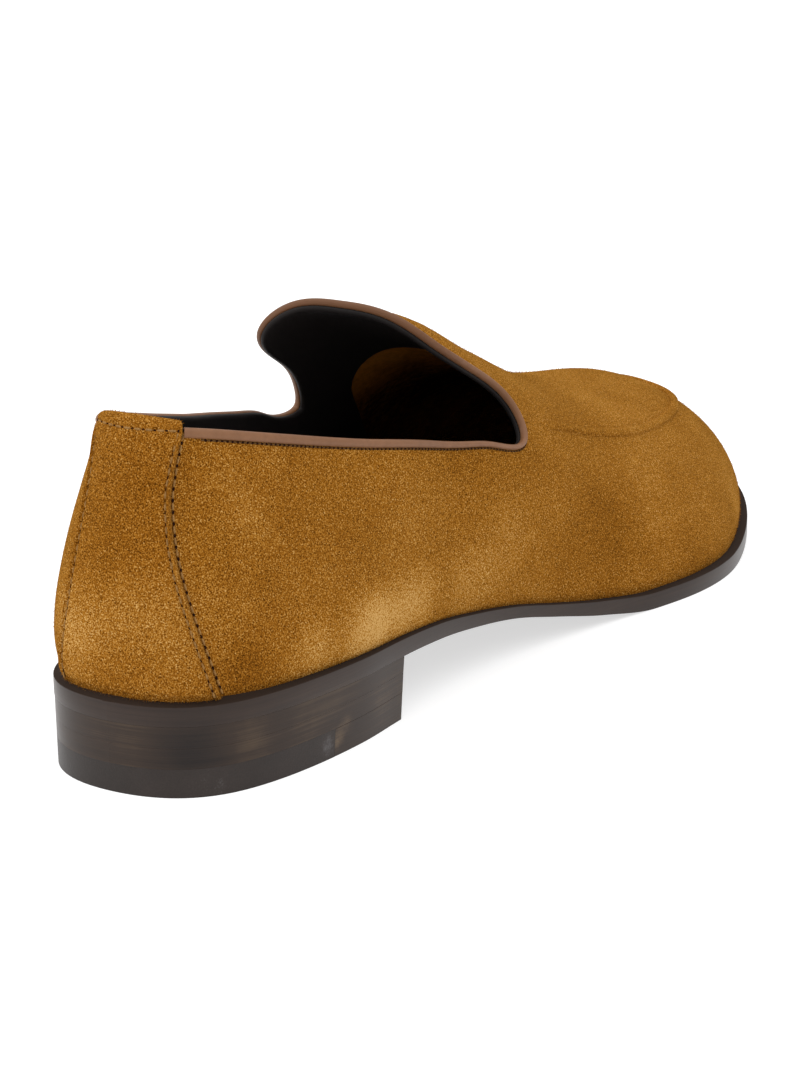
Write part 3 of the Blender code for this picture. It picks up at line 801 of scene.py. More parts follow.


# Patches of the suede, where they lie on the wall, how wide they are and how light: the low lighter ones are
# painted light thrown up from the floor onto the quarter, the low darker one is painted shade just above the
# sole, and the rest mix brushed nap with painted light and shade
Patch = namedtuple("Patch", "side section share radius light")
NAP_AND_PAINTED_LIGHT_PATCHES = (
    Patch("outer", 1.75, 0.11, 11.0, 0.16),
    Patch("outer", 2.4, 0.13, 14.0, 0.34),
    Patch("outer", 3.0, 0.14, 14.0, 0.32),
    Patch("outer", 3.6, 0.16, 14.0, 0.24),
    Patch("outer", 4.5, 0.22, 16.0, 0.16),
    Patch("outer", 1.2, 0.12, 12.0, -0.16),
    Patch("outer", 1.0, 0.49, 10.0, -0.06),
    Patch("outer", 1.4, 0.69, 9.0, 0.10),
    Patch("outer", 2.3, 0.35, 18.0, -0.06),
    Patch("outer", 3.55, 0.74, 22.0, 0.10),
    Patch("outer", 0.0, 0.72, 20.0, -0.10),
    Patch("outer", 0.3, 0.33, 16.0, 0.10),
    Patch("inner", 0.4, 0.24, 15.0, 0.26),
    Patch("outer", 5.2, 0.50, 18.0, 0.10),
    Patch("outer", 7.0, 0.30, 24.0, -0.10),
    Patch("outer", 8.6, 0.40, 26.0, 0.12),
    Patch("inner", 4.2, 0.40, 26.0, 0.10),
    Patch("inner", 7.4, 0.30, 26.0, -0.10),
)

# Suede: the nap leans by a turn that its drift and strokes share
SUEDE_STOPS = (
    (0.00, (0.050, 0.016, 0.001)),
    (0.30, (0.152, 0.051, 0.004)),
    (0.50, (0.238, 0.086, 0.007)),
    (0.70, (0.346, 0.152, 0.022)),
    (1.00, (0.540, 0.315, 0.105)),
)
SUEDE_TONE = 0.47
NAP_TURN = (40.0, 35.0, 0.0)
SUEDE_MOTTLE = Layer(26.0, 2.0, 0.5, 0.36)
SUEDE_DRIFT = Layer(90.0, 2.0, 0.5, 0.16, (1.0, 1.0, 1.8), NAP_TURN)
SUEDE_GRAIN = Layer(3300.0, 0.0, 0.5, 0.9)
SUEDE_STROKES = Layer(3400.0, 0.0, 0.5, 0.9, (1.0, 1.0, 2.0), NAP_TURN)
SUEDE_HOLLOWS = Layer(240.0, 3.0, 0.6)
SUEDE_HOLLOW_BUMP = Bump(0.6, 0.35)
SUEDE_PILE_BUMP = Bump(0.20, 0.7)
SUEDE_SURFACE = {
    "Roughness": 0.95,
    "Specular IOR Level": 0.0,
    "Sheen Weight": 0.10,
    "Sheen Roughness": 0.5,
    "Sheen Tint": (1.0, 0.70, 0.20, 1.0),
}


def suede_material(name):
    """Brushed suede: mottled nap with patches of brushed nap and of painted light and shade, over a fine
    grain of short strokes.
    """
    look = Shading(name, SUEDE_SURFACE)
    tone = look.layered(SUEDE_TONE, SUEDE_MOTTLE, SUEDE_DRIFT)
    # Patches of brushed nap mixed with painted light and shade
    tone = look.spotted(tone, [Spot(wall_spot(patch), patch.radius, patch.light) for patch in NAP_AND_PAINTED_LIGHT_PATCHES])
    grain = look.noise(SUEDE_GRAIN)
    strokes = look.noise(SUEDE_STROKES)
    tone = look.push(tone, grain, SUEDE_GRAIN.weight)
    tone = look.push(tone, strokes, SUEDE_STROKES.weight)
    look.drive("Base Color", look.ramp(tone, SUEDE_STOPS))
    hollows = look.bump(look.noise(SUEDE_HOLLOWS), SUEDE_HOLLOW_BUMP)
    look.drive("Normal", look.bump(look.math("ADD", grain, strokes), SUEDE_PILE_BUMP, hollows))
    return look.material


LEATHER_TONE = 0.5
LEATHER_CLOUDS = Layer(60.0, 4.0, 0.6, 0.7)
LEATHER_MOTTLE = Layer(600.0, 3.0, 0.6, 0.5)
GRAIN_DETAIL = 3.0
GRAIN_ROUGHNESS = 0.55
GRAIN_STRENGTH = 0.6


def plain_leather(name, stops, roughness, shine, grain_size, grain_depth, spots=()):
    """Plain leather with a fine grain in millimetres, a slow change of tone and lighter or darker spots."""
    look = Shading(name, {"Roughness": roughness, "Specular IOR Level": shine})
    tone = look.layered(LEATHER_TONE, LEATHER_CLOUDS, LEATHER_MOTTLE)
    look.drive("Base Color", look.ramp(look.spotted(tone, spots), stops))
    grain = look.noise(Layer(1 / (grain_size * MM), GRAIN_DETAIL, GRAIN_ROUGHNESS))
    look.drive("Normal", look.bump(grain, Bump(grain_depth, GRAIN_STRENGTH)))
    return look.material


# Scuffs break up into streaks
SCUFF_STREAKS = Layer(420.0, 4.0, 0.7)
HEEL_SCUFFS = (
    Spot((31.7, 43.5, 4.0), 4.0, 0.8),
    Spot((31.8, 47.0, 6.5), 4.0, 0.5),
    Spot((32.2, 62.0, 7.0), 8.0, 0.2),
)
RUBBER_SCUFFS = (
    Spot((22.0, 10.5, 2.5), 9.0, 0.32),
    Spot((6.0, 1.5, 2.0), 7.0, 0.20),
    Spot((30.8, 40.0, 3.5), 5.0, 0.7),
)

# Burnish of the sole's edge and the heel, with broad bands of painted reflection and shade on the heel where
# it is lighter or darker
BURNISH_TONE = 0.44
BURNISH_LINES = Layer(1.0, 3.0, 0.6, 0.32, (0.033, 0.033, 0.0004))
BURNISH_STREAKS = Layer(1.0, 2.0, 0.5, 0.30, (0.055, 0.055, 0.0016))
BURNISH_CLOUDS = Layer(70.0, 4.0, 0.6, 0.35)
BURNISH_ROUGHNESS = 0.34
BURNISH_LINE_ROUGHNESS = 0.12
BURNISH_CLOUD_ROUGHNESS = 0.14
BURNISH_BUMP = Bump(0.12, 0.2)
PAINTED_REFLECTION_BANDS = (
    Spot((17.7, 6.0, 10.0), 13.0, -0.34),
    Spot((27.0, 19.0, 10.0), 9.0, 0.16),
    Spot((31.0, 38.0, 13.0), 14.0, 0.14),
    Spot((5.4, 1.1, 12.0), 8.0, 0.06),
)
# Faces that look up are matte and painted dark, for the shade under the suede: the rise of the normal where
# that starts and where it is full
SHADED_TOP_FACING = (0.45, 0.75)
TOP_SHADE_COLOUR = (0.022, 0.012, 0.007, 1.0)
WAX_SHINE = 0.27


def burnished_leather(name, stops, scuffs=()):
    """Sole edge and heel leather: level burnish lines that run round it, painted bands of reflection and
    shade on the heel, waxed, and matte and painted dark on top for the shade under the suede.
    """
    look = Shading(name, {"Specular IOR Level": WAX_SHINE})
    lines = look.noise(BURNISH_LINES)
    clouds = look.noise(BURNISH_CLOUDS)
    tone = look.push(BURNISH_TONE, lines, BURNISH_LINES.weight)
    tone = look.layered(tone, BURNISH_STREAKS)
    tone = look.push(tone, clouds, BURNISH_CLOUDS.weight)
    # Painted bands of reflected light and shade round the heel
    tone = look.spotted(tone, PAINTED_REFLECTION_BANDS)
    tone = look.spotted(tone, scuffs, look.noise(SCUFF_STREAKS))
    facing = look.node("ShaderNodeSeparateXYZ")
    look.feed(facing.inputs[0], look.node("ShaderNodeNewGeometry").outputs["Normal"])
    # Painted shade on faces that look up, which are also made matte
    shaded_top = look.fade(facing.outputs["Z"], *SHADED_TOP_FACING)
    colour = look.node("ShaderNodeMix", data_type="RGBA")
    look.feed(colour.inputs["Factor"], shaded_top)
    look.feed(colour.inputs["A"], look.ramp(tone, stops))
    look.feed(colour.inputs["B"], TOP_SHADE_COLOUR)
    look.drive("Base Color", colour.outputs["Result"])
    polish = look.push(BURNISH_ROUGHNESS, lines, BURNISH_LINE_ROUGHNESS)
    polish = look.push(polish, clouds, BURNISH_CLOUD_ROUGHNESS)
    look.drive("Roughness", look.math("ADD", polish, shaded_top))
    look.drive("Normal", look.bump(lines, BURNISH_BUMP))
    return look.material


RUBBER_STOPS = (
    (0.15, (0.012, 0.008, 0.006)),
    (0.60, (0.027, 0.019, 0.016)),
    (1.00, (0.110, 0.102, 0.104)),
)
RUBBER_TONE = 0.44
RUBBER_CLOUDS = Layer(85.0, 5.0, 0.65, 0.6)
RUBBER_SPECKS = Layer(2400.0, 2.0, 0.6, 0.35)
RUBBER_ROUGHNESS = 0.42
RUBBER_CLOUD_ROUGHNESS = 0.25
RUBBER_BUMP = Bump(0.12, 0.4)


def rubber_material(name):
    """Dark rubber with light specks and rubbed clouds."""
    look = Shading(name, {"Specular IOR Level": WAX_SHINE})
    clouds = look.noise(RUBBER_CLOUDS)
    specks = look.noise(RUBBER_SPECKS)
    tone = look.push(RUBBER_TONE, clouds, RUBBER_CLOUDS.weight)
    tone = look.push(tone, specks, RUBBER_SPECKS.weight)
    tone = look.spotted(tone, RUBBER_SCUFFS, look.noise(SCUFF_STREAKS))
    look.drive("Base Color", look.ramp(tone, RUBBER_STOPS))
    look.drive("Roughness", look.push(RUBBER_ROUGHNESS, clouds, RUBBER_CLOUD_ROUGHNESS))
    look.drive("Normal", look.bump(specks, RUBBER_BUMP))
    return look.material


THREAD_FIBRE = Layer(1800.0, 2.0, 0.6)
THREAD_STOPS = (0.25, 0.7)
THREAD_SHADE = 0.55
THREAD_SURFACE = {"Roughness": 0.9, "Specular IOR Level": 0.0}


def thread_material(name, colour):
    """Spun thread with a slight change of tone."""
    look = Shading(name, THREAD_SURFACE)
    dark = tuple(THREAD_SHADE * part for part in colour)
    look.drive("Base Color", look.ramp(look.noise(THREAD_FIBRE), tuple(zip(THREAD_STOPS, (dark, colour)))))
    return look.material


SUEDE = suede_material("suede")
# Flesh side of the suede in the vamp: painted light near the throat and painted shade deeper towards the toe
RAW_SUEDE_PAINTED_LIGHT_AND_SHADE = plain_leather(
    "raw_suede_painted_light_and_shade",
    stops=((0.1, (0.030, 0.008, 0.001)), (0.9, (0.420, 0.150, 0.018))),
    roughness=0.95,
    shine=0.0,
    grain_size=0.7,
    grain_depth=0.2,
    spots=(Spot((-12.0, 146.0, 71.0), 36.0, 0.35), Spot((-20.0, 170.0, 45.0), 50.0, -0.45)),
)
# Binding leather, darkened round the tongue's tip by painted shade
BINDING_LEATHER = plain_leather(
    "binding_leather",
    stops=((0.1, (0.130, 0.056, 0.024)), (0.9, (0.250, 0.118, 0.056))),
    roughness=0.5,
    shine=0.25,
    grain_size=0.5,
    grain_depth=0.05,
    spots=(Spot((-2.0, 98.0, 90.0), 55.0, -0.60),),
)
LINING_LEATHER = plain_leather(
    "lining_leather",
    stops=((0.1, (0.006, 0.005, 0.005)), (0.9, (0.016, 0.012, 0.011))),
    roughness=0.6,
    shine=0.15,
    grain_size=0.5,
    grain_depth=0.05,
)
SOLE_STOPS = ((0.1, (0.008, 0.004, 0.003)), (0.5, (0.028, 0.016, 0.011)), (0.95, (0.066, 0.042, 0.028)))
HEEL_STOPS = ((0.1, (0.007, 0.003, 0.002)), (0.5, (0.027, 0.015, 0.009)), (0.95, (0.115, 0.074, 0.040)))
SOLE_LEATHER = burnished_leather("sole_leather", SOLE_STOPS)
HEEL_LEATHER = burnished_leather("heel_leather", HEEL_STOPS, HEEL_SCUFFS)
RUBBER = rubber_material("heel_rubber")
THREAD = thread_material("tan_thread", (0.330, 0.175, 0.058))
DARK_THREAD = thread_material("brown_thread", (0.120, 0.060, 0.022))
# Dark discs on the surface stand for the needle holes: their colour is painted shade
NEEDLE_HOLE_SHADE = thread_material("needle_hole_shade", (0.024, 0.009, 0.006))


# Soft ridges and troughs of the worn-in suede: where they lie on the wall, their radius and height
Swell = namedtuple("Swell", "side section share radius height")
SWELLS = (
    Swell("inner", 1.05, 0.58, 17.0, 1.1),
    Swell("inner", 1.05, 0.26, 15.0, 0.8),
    Swell("outer", 2.4, 0.20, 14.0, 0.5),
    Swell("outer", 3.2, 0.22, 14.0, 0.5),
    Swell("outer", 4.1, 0.28, 15.0, 0.4),
    Swell("outer", 2.8, 0.48, 14.0, -0.5),
    Swell("outer", 3.7, 0.55, 15.0, -0.4),
    Swell("outer", 1.6, 0.40, 12.0, -0.4),
    Swell("outer", 11.9, 0.95, 15.0, 1.3),
    Swell("outer", 6.3, 0.35, 20.0, -0.6),
    Swell("outer", 7.6, 0.45, 20.0, 0.5),
    Swell("inner", 6.3, 0.35, 20.0, -0.6),
    Swell("inner", 7.6, 0.45, 20.0, 0.5),
)
DENT_HOLD_POWER = 0.25
SLOW_DENT = 0.35
SLOW_DENT_SCALE = 0.035


def dents(points):
    """Swells and dips of the suede, in millimetres along its normal."""
    slow = [noise.noise(Vector(point) * SLOW_DENT_SCALE) for point in points.reshape(-1, 3)]
    height = SLOW_DENT * np.array(slow).reshape(points.shape[:-1])
    for ridge in SWELLS:
        distance = np.linalg.norm(points - wall_spot(ridge), axis=-1)
        height = height + ridge.height * soft_bump(distance, 0.0, ridge.radius)
    return height


def skin_lines():
    """Sections and signs of lines all the way round: out along the outer side, back along the inner."""
    sections = even_sections(SKIN_LINES)
    section = np.concatenate([sections, sections[-2:0:-1]])
    sign = np.where(np.arange(len(section)) < len(sections), 1, -1)
    return section, sign


def skin_faces(section, sign):
    """Outer face of the suede with its dents, which die out at its edges, and its inner face."""
    shares = np.linspace(0, 1, SKIN_ROWS) ** WALL_ROW_POWER
    flat = wall_flat(section, sign, np.tile(shares, (len(section), 1)))
    normals = last_normal(flat)
    face = last_point(flat)
    hold = np.sin(np.pi * shares) ** DENT_HOLD_POWER
    return face + normals * (dents(face) * hold)[..., None], face - WALL * normals


def upper_skin():
    """Suede upper: the margin, the outer face, the edge and the inner face."""
    section, sign = skin_lines()
    outside, inside = skin_faces(section, sign)

    def margin(inset, height):
        plan = edge_point(section, sign, ledge(section) + inset)
        return raised(plan, above(upper_base, height))[:, None]

    return tyre(np.concatenate([
        margin(LASTING_MARGIN, 0.0),
        outside,
        inside[:, :0:-1],
        margin(WALL, WALL),
        margin(LASTING_MARGIN, WALL),
    ], axis=1))


def inner_sheet(section, sign, start, end, gap, thickness):
    """Near and far face of a sheet inside the wall, up to an end share and back down to a start share."""
    part = np.linspace(0, 1, SKIN_ROWS)
    flat = wall_flat(section, sign, start + (end - start) * part)
    points = last_point(flat)
    normals = last_normal(flat)
    near = points - normals * (WALL + gap)
    far = points - normals * (WALL + gap + thickness)
    return near, far[:, ::-1]


def lining_sheet():
    """Thin lining inside the collar, the heel and the tongue, rolled against the binding at its top."""
    section, sign = skin_lines()
    ends = lining_end(section)[:, None]
    near, far = inner_sheet(section, sign, ends, LINING_TOP_SHARE, LINING_GAP, LINING_THICKNESS)
    edge, normal, past = collar_frame(collar_position(section, sign))
    roll = [edge - normal * (WALL + inset) + past * rise for inset, rise in LINING_ROLL]
    return tyre(np.concatenate([near, np.stack(roll, axis=1), far], axis=1))


def raw_inside():
    """Bare flesh side of the suede inside the vamp, where the lining stops short."""
    section, sign = skin_lines()
    ends = lining_end(section)[:, None] + RAW_LAP_SHARE
    faces = inner_sheet(section, sign, RAW_START_SHARE, ends, RAW_GAP, RAW_THICKNESS)
    return tyre(np.concatenate(faces, axis=1))


def counter_edge(share, sign):
    """Half-width of the counter in sections on one side, at a share of the wall's height."""
    return np.where(np.asarray(sign) > 0, outer_counter_edge(share), inner_counter_edge(share))


def binding_leg(positions):
    """How far the binding reaches down outside, at positions along the collar's edge."""
    rows = TONGUE_TIP - np.abs(TONGUE_TIP - positions)
    return np.interp(rows, *zip(*BINDING_LEGS))


def binding_profile(leg):
    """Cross-section of the binding: distances out from the wall's outer face and past its edge."""
    reach = BINDING_GAP + BINDING_THICKNESS
    half = (reach + leg) / 2
    turns = np.radians(np.linspace(*BINDING_TURN, BINDING_TURN_STEPS))
    rounded = [(reach * np.cos(turn), reach - half + half * np.sin(turn)) for turn in turns]
    inner_roll = [(out, share * reach) for out, share in BINDING_INNER_ROLL]
    slot = [(BINDING_INNER_EDGE, BINDING_GAP), (BINDING_GAP, BINDING_GAP)]
    return np.array([(BINDING_GAP, -leg)] + rounded + inner_roll + slot)[::-1]


def binding_positions():
    """Even positions along the collar's edge from one side of the counter round to the other."""
    start = counter_edge(1.0, 1) + BINDING_START_ROW
    end = 2 * TONGUE_TIP - counter_edge(1.0, -1) - BINDING_START_ROW
    fine = np.linspace(start, end, BINDING_SAMPLES)
    gone = run_lengths(last_point(collar_edge(fine)))
    return np.interp(np.linspace(0, gone[-1], BINDING_STEPS), gone, fine)


def binding_strip():
    """Leather strip folded over the collar's edge, drawn in a little at each stitch."""
    positions = binding_positions()
    points, normals, past = collar_frame(positions)
    legs = binding_leg(positions)
    profiles = np.array([binding_profile(leg) for leg in legs])
    pull = BINDING_PUCKER * np.cos(2 * np.pi * run_lengths(points) / BINDING_STITCH_PITCH)
    low = np.clip(-profiles[..., 1] / legs[:, None], 0, 1)
    out = profiles[..., 0] + pull[:, None] * low
    return loft(points[:, None] + normals[:, None] * out[..., None] + past[:, None] * profiles[..., 1:])


def counter_offset(from_edge):
    """Thickness of the counter at distances in from its rounded raw edges."""
    to_full = 1 - np.clip(from_edge / COUNTER_EDGE_ROUND, 0, 1)
    return COUNTER_GAP + COUNTER_THICKNESS * np.sqrt(1 - to_full**2)


def counter_seam(from_edge):
    """Ridge between the counter's two stitch rows, and the groove its inner row pulls in."""
    row = COUNTER_STITCH_ROWS[1][0]
    ridge = COUNTER_RIDGE * soft_bump(from_edge, row / 2, row / 3)
    return ridge - COUNTER_GROOVE * soft_bump(from_edge, row, row / 3)


def counter_relief(from_edge, shares):
    """How far the counter's face stands off the wall: its seam, the crease under its fold, its thin foot."""
    below = (1 - shares) * BACK_HEIGHT
    crease = FOLD_GROOVE * soft_bump(below, 0.0, FOLD_GROOVE_WIDTH)
    seam = counter_seam(from_edge) * (1 - soft_bump(below, 0.0, COUNTER_SEAM_FADE))
    foot = soft_bump(shares * BACK_HEIGHT, 0.0, COUNTER_FOOT_FADE)
    off_wall = counter_offset(from_edge) + seam - crease * np.clip(from_edge / COUNTER_EDGE_ROUND, 0, 1)
    return off_wall * (1 - (1 - COUNTER_FOOT_SHARE) * foot)


def counter_grid():
    """Points of the counter's gap and outer face: up the wall, over its edge and down inside.

    Lines run from the counter's outer to its inner edge and lie closest near the edges.
    """
    middle = np.linspace(0, COUNTER_MIDDLE, COUNTER_COLUMNS)
    half = np.concatenate([middle, np.linspace(COUNTER_EDGES_FROM, 1, COUNTER_COLUMNS)])
    places = np.concatenate([half[::-1], -half[1:]])
    sign = np.where(places >= 0, 1, -1)
    low_shares = np.linspace(COUNTER_START_SHARE, COUNTER_TOP_SHARE, COUNTER_ROWS, endpoint=False)
    shares = np.concatenate([low_shares, np.linspace(COUNTER_TOP_SHARE, 1, COUNTER_TOP_ROWS)])
    edges = counter_edge(shares, sign[:, None])
    from_edge = (1 - np.abs(places))[:, None] * edges * SECTION_ARC
    across = (np.abs(places)[:, None] * edges).ravel()
    lines = wall_flat(across, np.repeat(sign, len(shares)), np.tile(shares, len(places))[:, None])
    outside = lines.reshape(len(places), len(shares), 2)
    top = np.abs(places) * edges[:, -1]
    top_out = counter_offset(from_edge[:, -1])[:, None, None]
    point, normal, past = collar_frame(collar_position(top, sign))
    turns = np.radians(np.linspace(0, 180, COUNTER_CAP_ROWS + 2)[1:-1])[:, None]
    tuck = FOLD_GROOVE * soft_bump(turns * (WALL / 2 + COUNTER_THICKNESS), 0.0, FOLD_GROOVE_WIDTH)
    rise = (COUNTER_FOLD_RISE * (1 - places**2))[:, None, None]
    fold = np.linspace(1, 1 - COUNTER_FOLD_SHARE, COUNTER_FOLD_ROWS)
    inside = wall_flat(top, sign, np.tile(fold, (len(places), 1)))

    def face(wall_offset, top_offset, cap_rise, cap_tuck):
        reach = WALL / 2 + top_offset
        round_edge = normal[:, None] * (reach - cap_tuck) * np.cos(turns)
        round_edge = round_edge + past[:, None] * (reach + cap_rise) * np.sin(turns)
        return np.concatenate([
            last_point(outside) + last_normal(outside) * wall_offset,
            (point - normal * WALL / 2)[:, None] + round_edge,
            last_point(inside) - last_normal(inside) * (WALL + top_offset),
        ], axis=1)

    gap_face = face(COUNTER_GAP, COUNTER_GAP, 0.0, 0.0)
    return gap_face, face(counter_relief(from_edge, shares)[..., None], top_out, rise, tuck)


def apron_ridge():
    """Raised seam round the apron, fading out at both ends."""
    rows = [flat_point(row.section, 1, row.outer) for row in SEAM]
    rows = np.array(rows + [flat_point(row.section, -1, row.inner) for row in SEAM[-2::-1]])
    numbers = np.arange(len(rows))
    places = np.linspace(0, numbers[-1], SEAM_STEPS)
    flat = np.stack([steady_curve(numbers, column)(places) for column in rows.T], axis=-1)
    points = last_point(flat)
    normals = last_normal(flat)
    across = unit(np.cross(normals, np.gradient(points, axis=0)))
    gone = run_lengths(points)
    fade = np.sqrt(np.clip(np.minimum(gone, gone[-1] - gone) / SEAM_TAPER, SEAM_END_SHARE, 1))
    turns = np.radians(np.linspace(0, 180, SEAM_PROFILE_STEPS))
    beside = across[:, None] * (SEAM_HALF_WIDTH * np.cos(turns))[:, None]
    up = fade[:, None] * (SEAM_HEIGHT * np.sin(turns) - SEAM_SINK)
    return loft(points[:, None] + beside + normals[:, None] * up[..., None])


def sole_ring(inset, height):
    """Ring round the whole sole for slab(), moved in by an inset that may change along it."""
    sections = even_sections(EDGE_STEPS)
    insets = inset(sections)
    signs = np.ones(len(sections))
    return [raised(edge_point(sections, side * signs, insets), height) for side in SIDES.values()]


def rounded_edge(radius, steps):
    """Insets and rises of a rounded edge, from its foot to its top."""
    turns = np.radians(np.linspace(0, 90, steps))
    return [(radius * (1 - np.cos(turn)), radius * np.sin(turn)) for turn in turns]


def lip_height(share):
    """Height of the sole's ledge along it, with a share of the rise of its rough lip at the suede."""
    return lambda along: sole_top(along) + share * np.interp(along, *zip(*LIP_RISE))


def sole_mesh():
    """Leather sole with a crisp rim, a rough lip against the suede and a slightly rounded foot."""
    foot = rounded_edge(SOLE_FOOT_ROUND, FOOT_STEPS)
    rim = rounded_edge(SOLE_RIM_ROUND, RIM_STEPS)
    lower = [sole_ring(level(inset), above(underside, SOLE_FOOT_ROUND - rise)) for inset, rise in foot[::-1]]
    upper = [sole_ring(level(inset), above(sole_top, rise - SOLE_RIM_ROUND)) for inset, rise in rim]
    lip = [sole_ring(above(ledge, shift), lip_height(share)) for shift, share in LIP_PROFILE]
    return slab(lower + upper + lip)


def insole_mesh():
    """Sock leather over the insole board."""
    inset = above(ledge, INSOLE_INSET)
    shoulder = INSOLE_RISE + INSOLE_THICKNESS - INSOLE_ROUND
    rings = [sole_ring(inset, above(upper_base, INSOLE_RISE))]
    for shift, rise in rounded_edge(INSOLE_ROUND, RIM_STEPS):
        rings.append(sole_ring(above(inset, shift), above(upper_base, shoulder + rise)))
    return slab(rings)


def heel_size(at_floor, at_sole, height):
    """A size of the heel that changes evenly from the floor to the sole."""
    return at_floor + (at_sole - at_floor) * height / underside(0.0)


def heel_back(height):
    """Where whole heel layers start."""
    return 0 * height


def breast(height):
    """Distance of the heel's front face from its back."""
    return heel_size(BREAST_AT_FLOOR, BREAST_AT_SOLE, height)


def rubber_front(height):
    """Distance of the rubber's front face from the heel's back."""
    return JOINT_AT_FLOOR + (JOINT_AT_LIFT - JOINT_AT_FLOOR) * height / TOP_PIECE_HEIGHT


def leather_back(height):
    """Distance of the leather top piece's rear face from the heel's back."""
    return rubber_front(height) + LAYER_GAP


def heel_ring(start, end, height):
    """Ring round a heel layer for slab(), from its start to its end line."""
    nominal = height(0.0)
    inset = heel_size(HEEL_INSET_AT_FLOOR, HEEL_INSET_AT_SOLE, nominal)
    fine = np.linspace(0, HEEL_FAN + MIDDLE, PATH_SAMPLES)
    sides = []
    for sign in SIDES.values():
        reached = edge_point(fine, np.full(PATH_SAMPLES, sign), inset)[:, 1]
        first, last = np.interp([start(nominal), end(nominal)], reached, fine)
        sections = np.linspace(first, last, HEEL_STEPS + 1)
        sides.append(raised(edge_point(sections, np.full(len(sections), sign), inset), height))
    return sides


def add_heel_layer(name, start, end, bottom, top, material, replaced):
    """One heel layer with softened edges."""
    mesh = slab([heel_ring(start, end, bottom), heel_ring(start, end, top)])
    piece = add_piece(name, mesh, material, replaced)
    soften = piece.modifiers.new("soften", "BEVEL")
    soften.width = HEEL_EDGE_ROUND * MM
    soften.segments = SOFTENED_STEPS
    soften.limit_method = "ANGLE"
    soften.angle_limit = np.radians(SOFTENED_ANGLE)


def gathered(meshes):
    """One mesh from several."""
    points = []
    faces = []
    start = 0
    for corners, sides in meshes:
        points.append(corners)
        faces.extend([start + corner for corner in side] for side in sides)
        start += len(corners)
    return np.concatenate(points), faces


def scatter(grid, count, chance):
    """Random points on a grid of points, spread by area, with the grid's normals there."""
    one_way = grid[1:, 1:] - grid[:-1, :-1]
    other_way = grid[:-1, 1:] - grid[1:, :-1]
    normals = np.cross(one_way, other_way).reshape(-1, 3)
    areas = np.linalg.norm(normals, axis=1)
    cells = chance.choice(len(areas), count, p=areas / areas.sum())
    row, column = np.unravel_index(cells, one_way.shape[:2])
    down, along = chance.random((2, count, 1))
    near = grid[row, column] * (1 - along) + grid[row, column + 1] * along
    far = grid[row + 1, column] * (1 - along) + grid[row + 1, column + 1] * along
    return near * (1 - down) + far * down, unit(normals[cells])


def spikes(points, normals, chance):
    """Closed three-sided spikes that stand on points and lean at random."""
    count = len(points)
    along = unit(normals + chance.normal(0, NAP_LEAN, (count, 3)))
    one_way = unit(np.cross(along, chance.normal(0, 1, (count, 3))))
    other_way = np.cross(along, one_way)
    turns = np.radians([0, 120, 240])[:, None]
    foot = NAP_WIDTH * (np.cos(turns) * one_way[:, None] + np.sin(turns) * other_way[:, None])
    feet = (points - NAP_SINK * normals)[:, None] + foot
    tips = points + along * chance.uniform(*NAP_LENGTH, (count, 1))
    corners = np.concatenate([feet, tips[:, None]], axis=1)
    faces = [(0, 2, 1), (0, 1, 3), (1, 2, 3), (2, 0, 3)]
    return gathered([(spike, faces) for spike in corners])


def nap_fibres():
    """Loose fibres on the upper, on the counter and its fold, and where the suede meets the sole."""
    chance = np.random.default_rng(NAP_SEED)
    skin, _ = skin_faces(*skin_lines())
    skin = np.concatenate([skin, skin[:1]])
    _, counter = counter_grid()
    counter = counter[::-1, :-COUNTER_FOLD_ROWS]
    fields = (
        (skin, NAP_ON_UPPER),
        (counter, NAP_ON_COUNTER),
        (skin[:, :FEATHER_ROWS], NAP_AT_FEATHER),
        (counter[:, :FEATHER_ROWS], NAP_AT_COUNTER_FOOT),
    )
    return gathered([spikes(*scatter(grid, count, chance), chance) for grid, count in fields])


def stitch_meshes(row):
    """Meshes of a row of stitches and of dark discs between them, painted shade where the needle went
    through.
    """
    gone = run_lengths(row.points)
    count = int(gone[-1] / row.pitch)
    pitch = gone[-1] / count
    nudge = 0.1

    def at(where, values):
        return np.stack([np.interp(where, gone, column) for column in values.T], axis=-1)

    parts = np.linspace(-0.5, 0.5, STITCH_RINGS)
    arch = 1 - (2 * parts) ** STITCH_ARCH_POWER
    lift = STITCH_ARCH * arch - STITCH_SINK
    thick = row.width / 2 * (STITCH_END_SHARE + (1 - STITCH_END_SHARE) * arch)
    turns = np.radians(np.linspace(0, 360, STITCH_SIDES, endpoint=False))[:, None]
    threads = []
    hole_shades = []
    for start in (np.arange(count) + 0.5) * pitch:
        where = start + parts * pitch * STITCH_SHARE
        line = at(where, row.points)
        normal = unit(at(where, row.normals))
        side = unit(np.cross(np.gradient(line, axis=0), normal))
        centre = line + normal * lift[:, None]
        ring = side[:, None] * np.cos(turns) + STITCH_FLATNESS * normal[:, None] * np.sin(turns)
        threads.append(loft(centre[:, None] + thick[:, None, None] * ring))
        spot = start + 0.5 * pitch
        upright = unit(at(spot, row.normals))
        middle = at(spot, row.points) + HOLE_LIFT * upright
        along = unit(at(spot + nudge, row.points) - at(spot - nudge, row.points))
        beside = np.cross(upright, along)
        rim = row.hole * (HOLE_STRETCH * along * np.cos(turns) + beside * np.sin(turns))
        hole_shades.append(loft(np.array([middle - HOLE_DEPTH * upright + rim, middle + rim])))
    return gathered(threads), gathered(hole_shades)


def add_stitches(name, rows, thread):
    """Threads of several stitch rows, and dark discs of painted shade where the needle went through, as two
    pieces.
    """
    threads, hole_shades = zip(*[stitch_meshes(row) for row in rows])
    add_piece(name + "_threads", gathered(threads), thread)
    add_piece(name + "_holes", gathered(hole_shades), NEEDLE_HOLE_SHADE)


